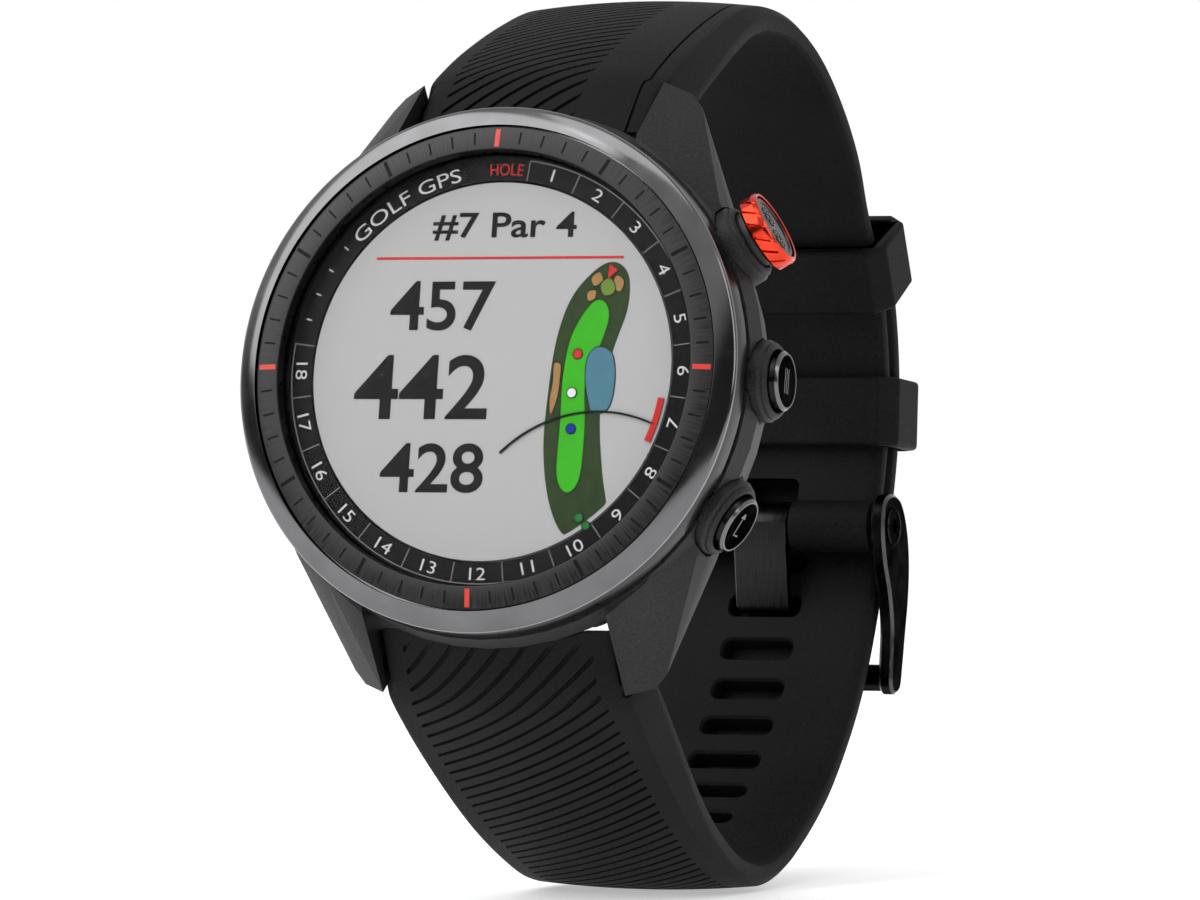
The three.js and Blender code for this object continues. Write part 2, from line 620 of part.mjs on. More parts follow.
// A loop round both straps, drawn with its bore along z and the arc's radius along y.
function keeper(angle) {
  const inner = [BUCKLE_STRAP_ARC_R - STRAP_THICKNESS - 0.4, HOLE_STRAP_ARC_R + 0.2];
  const outerHalf = STRAP_HALF + 0.2 + KEEPER_WALL;
  const low = inner[0] - KEEPER_WALL;
  const high = inner[1] + KEEPER_WALL;
  const chamfer = 1.6;
  const outline = shapeThrough([
    [outerHalf, low + chamfer], [outerHalf, high - chamfer], [outerHalf - chamfer, high],
    [chamfer - outerHalf, high], [-outerHalf, high - chamfer], [-outerHalf, low + chamfer],
    [chamfer - outerHalf, low], [outerHalf - chamfer, low],
  ]);
  const bore = box(2 * STRAP_HALF + 0.4, inner[1] - inner[0], 20, [0, (inner[0] + inner[1]) / 2, 0]);
  return cut(extruded(outline, KEEPER_LENGTH, 0.3).translate(0, 0, -KEEPER_LENGTH / 2), bore)
    .rotateX(radians(angle))
    .translate(0, ...ARC_CENTRE);
}

addPiece(band, 'upper_keeper', keeper(KEEPER_ANGLES.upper), 'silicone');
addPiece(band, 'lower_keeper', keeper(KEEPER_ANGLES.lower), 'silicone');

export default group;
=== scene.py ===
"""Round golf watch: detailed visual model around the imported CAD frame.

Lengths in the script are millimetres in local frames (dial, button, strap) and are turned into
metres in the row frame when a mesh is made. Row frame: +X to 3 o'clock, -Y out of the dial, +Z up.
"""
import json
import math

import bmesh
import bpy
import numpy as np
from mathutils import Matrix, Vector


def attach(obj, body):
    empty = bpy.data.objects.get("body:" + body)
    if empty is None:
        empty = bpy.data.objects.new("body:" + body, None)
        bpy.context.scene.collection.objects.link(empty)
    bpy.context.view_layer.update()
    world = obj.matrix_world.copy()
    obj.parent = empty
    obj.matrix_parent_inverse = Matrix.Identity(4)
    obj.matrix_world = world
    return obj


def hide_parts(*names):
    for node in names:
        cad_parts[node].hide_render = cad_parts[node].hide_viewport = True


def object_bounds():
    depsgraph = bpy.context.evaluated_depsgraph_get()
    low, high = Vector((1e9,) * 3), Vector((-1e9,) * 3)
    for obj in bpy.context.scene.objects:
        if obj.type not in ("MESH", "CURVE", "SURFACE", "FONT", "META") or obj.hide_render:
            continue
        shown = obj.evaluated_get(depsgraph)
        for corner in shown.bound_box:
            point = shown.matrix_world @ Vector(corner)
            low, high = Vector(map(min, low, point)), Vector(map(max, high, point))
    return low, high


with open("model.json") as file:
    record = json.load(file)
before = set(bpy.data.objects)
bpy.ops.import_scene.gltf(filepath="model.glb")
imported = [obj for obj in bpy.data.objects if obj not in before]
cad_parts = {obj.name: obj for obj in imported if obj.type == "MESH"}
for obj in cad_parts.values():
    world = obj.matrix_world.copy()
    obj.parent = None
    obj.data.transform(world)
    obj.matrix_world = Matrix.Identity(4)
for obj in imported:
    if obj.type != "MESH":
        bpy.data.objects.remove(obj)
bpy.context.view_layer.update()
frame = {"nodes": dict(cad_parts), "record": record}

MM = 0.001
BODY_OF = {node: body for body, nodes in frame["record"]["behaviour"]["bodies"].items() for node in nodes}
SLOT_OF = {row["node"]: row["material_slot"] for row in frame["record"]["subparts"]}

# ---- the dial's frame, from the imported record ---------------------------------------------

CASE_BACK = next(m for m in frame["record"]["mounts"] if m["name"] == "case_back")
CASE_BACK_DEPTH = 14.8                  # flat of the sensor window, behind the tick ring's face
DIAL_NORMAL = -Vector(CASE_BACK["axis"]).normalized()
DIAL_RIGHT = Vector((1, 0, 0))
DIAL_UP = DIAL_NORMAL.cross(DIAL_RIGHT)
DIAL_CENTRE = Vector(CASE_BACK["pos_m"]) + DIAL_NORMAL * CASE_BACK_DEPTH * MM


def basis(x_axis, y_axis, z_axis, origin):
    """Matrix from a local frame in millimetres to the row frame in metres."""
    turn = Matrix((x_axis, y_axis, z_axis)).transposed().to_4x4()
    return Matrix.Translation(origin) @ turn @ Matrix.Scale(MM, 4)


DIAL = basis(DIAL_RIGHT, DIAL_UP, DIAL_NORMAL, DIAL_CENTRE)
BAND = basis(Vector((1, 0, 0)), Vector((0, 1, 0)), Vector((0, 0, 1)), DIAL_CENTRE)

# ---- driving dimensions, millimetres --------------------------------------------------------

BEZEL_R = 23.26
BEZEL_TOP_R = 21.45
TICK_RING_R = (19.3, 21.3)
TICK_RING_FALL = 0.3                    # the ring's face falls this much to its outer edge
LENS_R = 19.05
LENS_Z = (-1.9, -1.0)
SCALE_R = (16.95, 19.1)
SCALE_Z = (-2.5, -2.15)
DISPLAY_R = 16.75
DISPLAY_Z = -2.2
LAYER = 0.03                            # thickness of one printed layer on the dial

BUTTON_Z = -7.3
BUTTON_ANGLES = {"upper": 60, "middle": 90, "lower": 120}
BUTTON_FACES = {"upper": 27.4, "middle": 25.6, "lower": 25.6}
GUARD_TOPS = {"upper": 25.0, "middle": 24.8, "lower": 24.8}
GUARD_BOTTOM = 23.1
CUT_SLANT = 0.85                        # cuts in the red ring: along its edge per length
CUT_DEPTH = 0.24

STRAP_HALF = 11.0
SHOULDER_HALF = 12.6
LUG_HALF = 11.25
SHOULDER_AT = 6.2
STRAP_LEAD = 0.95                       # strap's end, before the first point of its line
CASE_ROOM = 0.06                        # between the case and the hollow in the strap's end
THICKNESS = (5.0, 2.7)
ARC_CENTRE = (50.7, -2.2)
BUCKLE_ARC_R = 27.45
HOLE_ARC_R = 30.4
HOLE_PITCH = 4.85
HOLE_SIZE = (7.0, 2.1)
HOLES_BEFORE_TONGUE = 6
HOLES_AFTER_TONGUE = 5
TONGUE_HOLE = (74.75, -23.75)
BUCKLE_PIN = (72.8, -15.0)
ROLL_R = 2.45
TONGUE_HALF = 2.6
ARM_X = (11.35, 12.75)
CROSSBAR = (74.1, -29.4)
PIN_BORE_R = 0.95
SCREW_SINK_R = 2.0
SLEEVE_R = 1.85
ARM_CHAMFER = 0.28
TONGUE_CHAMFER = 0.07                   # a wider one makes the tongue's thin outline cross itself

RIB_PITCH = 2.3                         # between grooves, measured across the strap
RIB_SLOPE = 0.62                        # along the strap per across it, away from the lugs
RIB_DEPTH = 0.34
RIB_START = 0.1
RIB_END = 54.0
RIB_REACH = 10.8                        # half width that the slanting rings run over
BORDER_AT = 0.86                        # border line, as a share of the face's half width


# ---- meshes ---------------------------------------------------------------------------------

def placed(name, data):
    """Object in the scene that holds a mesh, a lamp, a camera or letters."""
    thing = bpy.data.objects.new(name, data)
    bpy.context.scene.collection.objects.link(thing)
    return thing


def mesh_object(name, vertices, faces, matrix, *materials, numbers=None):
    """Object at the origin whose mesh is given in a local frame. Edges over 30 degrees stay sharp.

    numbers gives each face's material, where there are several."""
    mesh = bpy.data.meshes.new(name)
    mesh.from_pydata([tuple(v) for v in vertices], [], faces)
    if numbers:
        mesh.polygons.foreach_set("material_index", numbers)
    mesh.transform(matrix)
    piece = placed(name, mesh)
    for material in materials:
        mesh.materials.append(material)
    return finish_mesh(piece)


def side_faces(rings, count):
    """Faces between successive rings of points, each ring with the same count of them."""
    faces = []
    for i in range(rings - 1):
        here, there = i * count, (i + 1) * count
        for j in range(count):
            k = (j + 1) % count
            faces.append((here + j, here + k, there + k, there + j))
    return faces


def finish_mesh(piece, angle=30, merge=1e-7):
    """Merges doubled points, turns faces outwards and shades smooth up to an angle."""
    cleaned = bmesh.new()
    cleaned.from_mesh(piece.data)
    bmesh.ops.remove_doubles(cleaned, verts=cleaned.verts, dist=merge)
    bmesh.ops.recalc_face_normals(cleaned, faces=cleaned.faces)
    cleaned.to_mesh(piece.data)
    cleaned.free()
    piece.data.polygons.foreach_set("use_smooth", [True] * len(piece.data.polygons))
    piece.data.set_sharp_from_angle(angle=math.radians(angle))
    return piece


def lathe(name, outline, matrix, *materials, segments=128, slots=None):
    """Piece turned about the local z axis from [radius, height] points, a closed ring or a solid.

    slots gives, for some stretches of the outline, the number of their material."""
    open_ended = outline[0][0] == 0
    count = len(outline)
    angles = [2 * math.pi * i / segments for i in range(segments)]
    vertices = [(r * math.cos(a), r * math.sin(a), h) for a in angles for r, h in outline]
    faces = []
    numbers = []
    for i in range(segments):
        here, there = i * count, (i + 1) % segments * count
        for j in range(count - 1 if open_ended else count):
            k = (j + 1) % count
            faces.append((here + j, there + j, there + k, here + k))
            numbers.append((slots or {}).get(j, 0))
    return mesh_object(name, vertices, faces, matrix, *materials, numbers=numbers)


def bevel_corners(outline, sizes, steps=2):
    """Replaces corners of a closed or open [radius, height] outline by short arcs of the given sizes."""
    result = []
    for i, point in enumerate(outline):
        size = sizes.get(i, 0)
        if not size:
            result.append(tuple(point))
            continue
        here = Vector(point)
        before = here + (Vector(outline[i - 1]) - here).normalized() * size
        after = here + (Vector(outline[(i + 1) % len(outline)]) - here).normalized() * size
        for step in range(steps + 1):
            t = step / steps
            place = before * (1 - t) ** 2 + here * 2 * t * (1 - t) + after * t ** 2
            result.append(tuple(place))
    return result


def extrude(name, outlines, low, high, matrix, *materials, lift=lambda x, y: 0):
    """Plates with straight sides, from closed [x, y] outlines, between two heights.

    lift raises or lowers each point, to lay a plate on a cone."""
    vertices = []
    faces = []
    for outline in outlines:
        start, count = len(vertices), len(outline)
        vertices += [(x, y, low + lift(x, y)) for x, y in outline]
        vertices += [(x, y, high + lift(x, y)) for x, y in outline]
        faces.append(tuple(start + i for i in reversed(range(count))))
        faces.append(tuple(start + count + i for i in range(count)))
        for i in range(count):
            j = (i + 1) % count
            faces.append((start + i, start + j, start + count + j, start + count + i))
    return mesh_object(name, vertices, faces, matrix, *materials)


def refined(name, node, material, width=0.2, steps=2, angle=35):
    """Copy of a CAD node with merged flat faces and rounded edges, standing for that node."""
    mesh = frame["nodes"][node].data.copy()
    mesh.name = name
    mesh.materials.clear()
    mesh.materials.append(material)
    piece = placed(name, mesh)
    cleaned = bmesh.new()
    cleaned.from_mesh(mesh)
    bmesh.ops.remove_doubles(cleaned, verts=cleaned.verts, dist=1e-6)
    bmesh.ops.dissolve_limit(cleaned, angle_limit=math.radians(1.5), verts=cleaned.verts,
                             edges=cleaned.edges)
    cleaned.to_mesh(mesh)
    cleaned.free()
    mesh.polygons.foreach_set("use_smooth", [True] * len(mesh.polygons))
    mesh.set_sharp_from_angle(angle=math.radians(angle))
    bevel = piece.modifiers.new("bevel", "BEVEL")
    bevel.width = width * MM
    bevel.segments = steps
    bevel.limit_method = "ANGLE"
    bevel.angle_limit = math.radians(angle)
    bevel.harden_normals = True
    return add_piece(piece, BODY_OF[node], SLOT_OF[node], node)


def add_piece(piece, body, slot, *nodes):
    """Attaches a piece to the body that it moves with and hides the CAD nodes that it stands for; slot, its
    material slot, is not used.
    """
    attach(piece, body)
    if nodes:
        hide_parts(*nodes)
    return piece


def joined(name, pieces):
    """One object from several, keeping each one's materials."""
    bpy.ops.object.select_all(action="DESELECT")
    for piece in pieces:
        piece.select_set(True)
    bpy.context.view_layer.objects.active = pieces[0]
    bpy.ops.object.join()
    pieces[0].name = name
    pieces[0].data.name = name
    return pieces[0]


def apply_boolean(piece, cutter, operation):
    """Cuts or joins a piece with another, which is then removed."""
    modifier = piece.modifiers.new("boolean", "BOOLEAN")
    modifier.operation = operation
    modifier.solver = "EXACT"
    modifier.object = cutter
    graph = bpy.context.evaluated_depsgraph_get()
    result = bpy.data.meshes.new_from_object(piece.evaluated_get(graph))
    piece.modifiers.clear()
    piece.data = result
    bpy.data.objects.remove(cutter)
    return finish_mesh(piece)


# ---- materials ------------------------------------------------------------------------------

def principled(name, roughness, metallic=0.0):
    material = bpy.data.materials.new(name)
    material.use_nodes = True
    shader = material.node_tree.nodes["Principled BSDF"]
    shader.inputs["Roughness"].default_value = roughness
    shader.inputs["Metallic"].default_value = metallic
    return material, material.node_tree, shader


def add_node(tree, kind, **settings):
    node = tree.nodes.new(kind)
    for key, value in settings.items():
        if key in node.inputs:
            node.inputs[key].default_value = value
        else:
            setattr(node, key, value)
    return node


def local_coordinates(tree, matrix=None):
    """Object coordinates in millimetres, in the row frame or in a local frame."""
    source = add_node(tree, "ShaderNodeTexCoord").outputs["Object"]
    turn = matrix or Matrix.Scale(MM, 4)
    inverse = turn.inverted()
    place, rotation, scale = inverse.decompose()
    mapping = add_node(tree, "ShaderNodeMapping")
    mapping.inputs["Location"].default_value = place
    mapping.inputs["Rotation"].default_value = rotation.to_euler()
    mapping.inputs["Scale"].default_value = scale
    tree.links.new(source, mapping.inputs["Vector"])
    return mapping.outputs["Vector"]


def arithmetic(tree, operation, *values):
    """Output of a Math node; each value is another node's output or a number."""
    node = add_node(tree, "ShaderNodeMath", operation=operation)
    for place, value in zip(node.inputs, values):
        if isinstance(value, (int, float)):
            place.default_value = value
        else:
            tree.links.new(value, place)
    return node.outputs[0]


def noise(tree, vector, scale, detail=3.0):
    node = add_node(tree, "ShaderNodeTexNoise", Scale=scale, Detail=detail)
    tree.links.new(vector, node.inputs["Vector"])
    return node.outputs["Fac"]


def spread(tree, value, low, high, inputs=(0.3, 0.7)):
    node = add_node(tree, "ShaderNodeMapRange")
    node.inputs["From Min"].default_value = inputs[0]
    node.inputs["From Max"].default_value = inputs[1]
    node.inputs["To Min"].default_value = low
    node.inputs["To Max"].default_value = high
    tree.links.new(value, node.inputs["Value"])
    return node.outputs["Result"]


def tones(tree, value, dark, light, inputs=(0.3, 0.7)):
    """Colour that runs from dark to light as the value rises."""
    ramp = add_node(tree, "ShaderNodeValToRGB")
    ramp.color_ramp.elements[0].position = inputs[0]
    ramp.color_ramp.elements[1].position = inputs[1]
    ramp.color_ramp.elements[0].color = (*dark, 1)
    ramp.color_ramp.elements[1].color = (*light, 1)
    tree.links.new(value, ramp.inputs["Fac"])
    return ramp.outputs["Color"]


def bumped(tree, shader, height, strength, distance):
    bump = add_node(tree, "ShaderNodeBump", Strength=strength, Distance=distance * MM)
    tree.links.new(height, bump.inputs["Height"])
    tree.links.new(bump.outputs["Normal"], shader.inputs["Normal"])


def grey(value):
    return (value, value, value * 1.02)


def speckled(name, dark, light, roughness, grain, depth, metallic=0.0, specular=0.5):
    """Moulded surface with a fine speckle: silicone, fibre-filled polymer."""
    material, tree, shader = principled(name, roughness, metallic)
    shader.inputs["Specular IOR Level"].default_value = specular
    vector = local_coordinates(tree)
    fine = noise(tree, vector, 1 / grain, 2.0)
    broad = noise(tree, vector, 0.09, 2.0)
    mixed = arithmetic(tree, "MULTIPLY_ADD", broad, 0.35, fine)
    tree.links.new(tones(tree, mixed, dark, light, (0.5, 0.85)), shader.inputs["Base Color"])
    tree.links.new(spread(tree, fine, roughness - 0.08, roughness + 0.1), shader.inputs["Roughness"])
    bumped(tree, shader, fine, 0.6, depth)
    return material


def polished(name, dark, light, roughness, metallic=1.0, edge=1.0):
    """Coated metal with faint smudges in its gloss; edge dims its reflection at shallow angles."""
    material, tree, shader = principled(name, roughness, metallic)
    shader.inputs["Specular Tint"].default_value = (edge, edge, edge, 1)
    vector = local_coordinates(tree)
    smudge = noise(tree, vector, 0.35, 4.0)
    fine = noise(tree, vector, 6.0, 2.0)
    tree.links.new(tones(tree, smudge, dark, light), shader.inputs["Base Color"])
    tree.links.new(spread(tree, smudge, roughness * 0.75, roughness * 1.3), shader.inputs["Roughness"])
    bumped(tree, shader, fine, 0.05, 0.01)
    return material


def brushed(name, dark, light, roughness, stretch, metallic=1.0, depth=0.006, matrix=None):
    """Metal brushed in one direction: stretch gives the noise's frequency along each axis, per mm."""
    material, tree, shader = principled(name, roughness, metallic)
    vector = local_coordinates(tree, matrix)
    scaled = add_node(tree, "ShaderNodeVectorMath", operation="MULTIPLY")
    scaled.inputs[1].default_value = stretch
    tree.links.new(vector, scaled.inputs[0])
    lines = noise(tree, scaled.outputs[0], 1.0, 3.0)
    tree.links.new(tones(tree, lines, dark, light), shader.inputs["Base Color"])
    tree.links.new(spread(tree, lines, roughness - 0.07, roughness + 0.1), shader.inputs["Roughness"])
    bumped(tree, shader, lines, 0.35, depth)
    return material


def radial_brushed(name, dark, light, roughness, matrix, around, across, metallic=1.0):
    """Metal brushed about or out from a local z axis: frequencies round the axis and across it."""
    material, tree, shader = principled(name, roughness, metallic)
    vector = local_coordinates(tree, matrix)
    angle = add_node(tree, "ShaderNodeTexGradient", gradient_type="RADIAL")
    tree.links.new(vector, angle.inputs["Vector"])
    distance = add_node(tree, "ShaderNodeVectorMath", operation="LENGTH")
    flat = add_node(tree, "ShaderNodeVectorMath", operation="MULTIPLY")
    flat.inputs[1].default_value = (1, 1, 0)
    tree.links.new(vector, flat.inputs[0])
    tree.links.new(flat.outputs["Vector"], distance.inputs[0])
    polar = add_node(tree, "ShaderNodeCombineXYZ")
    tree.links.new(arithmetic(tree, "MULTIPLY", angle.outputs["Fac"], around), polar.inputs["X"])
    tree.links.new(arithmetic(tree, "MULTIPLY", distance.outputs["Value"], across), polar.inputs["Y"])
    lines = noise(tree, polar.outputs["Vector"], 1.0, 3.0)
    tree.links.new(tones(tree, lines, dark, light), shader.inputs["Base Color"])
    tree.links.new(spread(tree, lines, roughness - 0.06, roughness + 0.1), shader.inputs["Roughness"])
    bumped(tree, shader, lines, 0.3, 0.005)
    return material


def printed(name, color, roughness=0.45, variation=0.06, grain=1.2, specular=0.5):
    """Ink, lacquer or plain plastic with a slight unevenness."""
    material, tree, shader = principled(name, roughness)
    shader.inputs["Specular IOR Level"].default_value = specular
    fine = noise(tree, local_coordinates(tree), grain, 3.0)
    darker = tuple(c * (1 - variation) for c in color)
    tree.links.new(tones(tree, fine, darker, color), shader.inputs["Base Color"])
    tree.links.new(spread(tree, fine, roughness - 0.05, roughness + 0.05), shader.inputs["Roughness"])
    return material


def backlit(name, color, strength):
    """Reflective screen with a faint painted glow: emission of its own colour that lifts its brightness."""
    material = printed(name, color, 0.4, 0.03, 0.06)
    shader = material.node_tree.nodes["Principled BSDF"]
    tint = shader.inputs["Base Color"].links[0].from_socket
    material.node_tree.links.new(tint, shader.inputs["Emission Color"])
    shader.inputs["Emission Strength"].default_value = strength
    return material


def clear_glass(name):
    """Flat cover glass: see-through, with a mirror reflection that grows at shallow angles."""
    material, tree, shader = principled(name, 0.03)
    tree.nodes.remove(shader)
    clear = add_node(tree, "ShaderNodeBsdfTransparent")
    clear.inputs["Color"].default_value = (0.98, 0.98, 0.98, 1)
    gloss = add_node(tree, "ShaderNodeBsdfGlossy")
    smear = noise(tree, local_coordinates(tree), 0.2, 2.0)
    tree.links.new(spread(tree, smear, 0.02, 0.06), gloss.inputs["Roughness"])
    facing = add_node(tree, "ShaderNodeFresnel", IOR=1.12)
    behind = spread(tree, add_node(tree, "ShaderNodeNewGeometry").outputs["Backfacing"], 1, 0, (0, 1))
    mix = add_node(tree, "ShaderNodeMixShader")
    tree.links.new(arithmetic(tree, "MULTIPLY", facing.outputs["Fac"], behind), mix.inputs["Fac"])
    tree.links.new(clear.outputs["BSDF"], mix.inputs[1])
    tree.links.new(gloss.outputs["BSDF"], mix.inputs[2])
    tree.links.new(mix.outputs["Shader"], tree.nodes["Material Output"].inputs["Surface"])
    return material


SILICONE = speckled("silicone", grey(0.0012), grey(0.0078), 0.62, 0.24, 0.09, specular=0.12)
POLYMER = speckled("case_polymer", grey(0.003), grey(0.018), 0.5, 0.22, 0.08, specular=0.28)
GUNMETAL = polished("gunmetal_coating", grey(0.125), grey(0.15), 0.13)
# A narrow stripe of brighter metal at the bezel's rim: a painted highlight line.
RIM_PAINTED_HIGHLIGHT = polished("rim_painted_highlight", grey(0.26), grey(0.3), 0.18)
SIDE_BAND = brushed("brushed_side_band", grey(0.045), grey(0.09), 0.24, (0.05, 0.05, 9.0), matrix=DIAL)
# Near black for the upper cap's sides down inside the red ring: painted shade of that gap.
GAP_PAINTED_SHADE = printed("painted_gap_shade", grey(0.006), 0.5)
TICK_METAL = radial_brushed("brushed_tick_ring", grey(0.034), grey(0.05), 0.33, DIAL, 900.0, 0.4)
TICK_GREY = printed("tick_grey", grey(0.006), 0.5, specular=0.1)
TICK_RED = printed("tick_red", (0.62, 0.035, 0.022), 0.4)
GLOSS_BLACK = printed("gloss_black", grey(0.004), 0.3, specular=0.1)
WHITE_INK = printed("white_ink", grey(0.72), 0.5, specular=0.1)
GREY_INK = printed("grey_ink", grey(0.24), 0.5, specular=0.1)
RED_INK = printed("red_ink", (0.55, 0.03, 0.03), 0.45, specular=0.1)
# The screen's emission is painted light: a glow that makes the display brighter than the lamps alone do.
SCREEN = backlit("screen_grey", (0.365, 0.365, 0.363), 0.1)
SCREEN_INK = printed("screen_ink", grey(0.008), 0.4, specular=0.1)
ROUGH_GREEN = printed("map_rough", (0.032, 0.06, 0.02), 0.5, 0.4, specular=0.1)
FAIR_GREEN = printed("map_fairway", (0.045, 0.43, 0.014), 0.5, 0.15, specular=0.1)
GREEN_GREEN = printed("map_green", (0.15, 0.24, 0.04), 0.5, 0.15, specular=0.1)
SAND = printed("map_sand", (0.38, 0.22, 0.08), 0.5, 0.2, specular=0.1)
WATER = printed("map_water", (0.075, 0.2, 0.27), 0.4, 0.15, specular=0.1)
BLUE_INK = printed("map_blue", (0.01, 0.03, 0.3), 0.4, specular=0.1)
TREE_GREEN = printed("map_tree", (0.02, 0.18, 0.03), 0.5, specular=0.1)
RED_METAL = polished("red_anodised", (0.6, 0.035, 0.014), (0.72, 0.06, 0.03), 0.17)
DARK_METAL = polished("dark_coating", grey(0.014), grey(0.022), 0.22, edge=0.4)
EDGE_METAL = brushed("brushed_edge", grey(0.055), grey(0.1), 0.25, (9.0, 0.7, 0.7))
CAP_METAL = polished("cap_metal", (0.028, 0.033, 0.03), (0.04, 0.046, 0.042), 0.3)
BRIGHT_EDGE = polished("bright_edge", grey(0.13), grey(0.17), 0.2)
TONGUE_METAL = brushed("brushed_tongue", grey(0.016), grey(0.034), 0.3, (16.0, 0.5, 0.5))
STEEL = brushed("turned_steel", grey(0.3), grey(0.42), 0.3, (0.6, 9.0, 9.0))
COVER_STEEL = radial_brushed("circular_brushed_cover", grey(0.14), grey(0.24), 0.33, DIAL, 3.0, 14.0)
WINDOW = printed("window_black", grey(0.007), 0.1)
BLACK_PLASTIC = printed("black_moulding", grey(0.022), 0.5, 0.2)
SEAL = printed("seal_rubber", (0.2, 0.03, 0.012), 0.7, 0.2)
GOLD = polished("gold_plate", (0.6, 0.36, 0.09), (0.72, 0.45, 0.13), 0.25)
BOARD = printed("solder_mask", (0.012, 0.08, 0.028), 0.4, 0.4, 2.5)
FOIL = polished("battery_foil", grey(0.4), grey(0.5), 0.35)
CLEAR = clear_glass("cover_glass")
LED_GREEN = printed("led_lens", (0.02, 0.12, 0.04), 0.15)


# ---- bezel, tick ring and glass -------------------------------------------------------------

def build_bezel():
    outline = bevel_corners([
        (TICK_RING_R[0], -3.5), (TICK_RING_R[0], -0.95), (BEZEL_TOP_R, -0.95), (BEZEL_TOP_R, 0),
        (22.98, -0.78), (23.2, -0.97), (BEZEL_R, -1.1), (BEZEL_R, -3.35), (23.1, -3.5),
    ], {3: 0.12, 4: 0.06, 8: 0.05})
    # Stretch 9 is the rim's narrow stripe of brighter metal, a painted highlight line; stretch 10 is the side
    # band.
    slots = {9: 1, 10: 2}
    bezel = lathe("bezel_ring", outline, DIAL, GUNMETAL, RIM_PAINTED_HIGHLIGHT, SIDE_BAND, segments=192, slots=slots)
    add_piece(bezel, "watch", "gunmetal", "bezel")


def polar(radius, degrees):
    """Point of the dial at an angle clockwise from 12 o'clock."""
    return radius * math.sin(math.radians(degrees)), radius * math.cos(math.radians(degrees))


def radial_bar(inner, outer, degrees, half_width):
    """Outline of a bar that points away from the dial's centre."""
    along = Vector(polar(1, degrees))
    side = Vector((along.y, -along.x)) * half_width
    corners = (along * inner - side, along * outer - side, along * outer + side, along * inner + side)
    return [tuple(corner) for corner in corners]


def arc_band(inner, outer, start, end, steps=90):
    """Outline of a band round the dial's centre."""
    angles = [start + (end - start) * i / steps for i in range(steps + 1)]
    return [polar(outer, a) for a in angles] + [polar(inner, a) for a in reversed(angles)]


def on_tick_ring(x, y):
    """Height of the tick ring's face."""
    inner, outer = TICK_RING_R
    return -TICK_RING_FALL * (math.hypot(x, y) - inner) / (outer - inner)


def build_tick_ring():
    inner, outer = TICK_RING_R
    outline = bevel_corners([(inner, -0.8), (outer, -0.8), (outer, -TICK_RING_FALL), (inner, 0)], {3: 0.08})
    ring = lathe("tick_ring_face", outline, DIAL, TICK_METAL, segments=192)
    add_piece(ring, "watch", "brushed_dark", "tick_ring")
    wall = lathe("tick_ring_wall", [
        (inner - 0.15, -0.98), (inner - 0.02, -0.98), (inner - 0.02, -0.06), (inner - 0.07, -0.06),
    ], DIAL, GLOSS_BLACK, segments=192)
    add_piece(wall, "watch", "brushed_dark")
    middle = (inner + outer) / 2
    plain, fifth, quarter = [], [], []
    for minute in range(60):
        degrees = 6 * minute
        if minute % 15 == 0:
            quarter.append(radial_bar(middle - 0.78, middle + 0.82, degrees, 0.22))
        elif minute % 5 == 0:
            fifth.append(radial_bar(middle - 0.75, middle + 0.8, degrees, 0.17))
        else:
            plain.append(radial_bar(middle - 0.5, middle + 0.6, degrees, 0.09))
    ticks = extrude("minute_ticks", plain + fifth, -0.02, 0.012, DIAL, TICK_GREY, lift=on_tick_ring)
    add_piece(ticks, "watch", "brushed_dark")
    red = extrude("quarter_ticks", quarter, -0.02, 0.014, DIAL, TICK_RED, lift=on_tick_ring)
    add_piece(red, "watch", "red_metal")


def build_lens():
    low, high = LENS_Z
    outline = [(0, low), (LENS_R - 0.1, low), (LENS_R, low + 0.1), (LENS_R, high - 0.15),
               (LENS_R - 0.15, high), (0, high)]
    add_piece(lathe("cover_glass", outline, DIAL, CLEAR, segments=128), "watch", "lens_glass", "lens")


# ---- lettering ------------------------------------------------------------------------------

def letters_mesh(name, text, weight):
    """Flat letters from Blender's own font, centred on the origin and one high."""
    curve = bpy.data.curves.new(name, "FONT")
    curve.body = text
    curve.offset = weight
    curve.extrude = 0.5
    curve.resolution_u = 6
    holder = placed(name, curve)
    graph = bpy.context.evaluated_depsgraph_get()
    mesh = bpy.data.meshes.new_from_object(holder.evaluated_get(graph))
    bpy.data.objects.remove(holder)
    places = np.array([vertex.co[:] for vertex in mesh.vertices])
    low, high = places.min(axis=0), places.max(axis=0)
    scale = 1 / (high[1] - low[1])
    for vertex, place in zip(mesh.vertices, places):
        vertex.co = ((place[0] - (low[0] + high[0]) / 2) * scale, (place[1] - (low[1] + high[1]) / 2) * scale,
                     place[2])
    return mesh, (high[0] - low[0]) * scale


def lettering(name, text, height, place, material, low, width=None, widen=1.0, turn=0.0, weight=0.0,
              radius=None, thickness=LAYER):
    """Thin letters on the dial, centred on a place; radius bends them round the dial."""
    mesh, shape = letters_mesh(name, text, weight)
    stretch = width / shape if width else height * widen
    spin = Matrix.Rotation(-math.radians(turn), 4, "Z")
    for vertex in mesh.vertices:
        x, y = vertex.co.x * stretch, vertex.co.y * height
        if radius:
            flat = polar(radius + y, math.degrees(x / radius))
            x, y = flat[0], flat[1] - radius
        moved = spin @ Vector((x, y, 0))
        level = low + (vertex.co.z + 0.5) * thickness
        vertex.co = (moved.x + place[0], moved.y + place[1], level)
    mesh.materials.clear()
    mesh.materials.append(material)
    mesh.transform(DIAL)
    return finish_mesh(placed(name, mesh))


# ---- the ring of hole numbers ---------------------------------------------------------------

HOLE_STEP = 15
NUMERAL_R = 17.9
FIRST_DIVIDER = 7.5


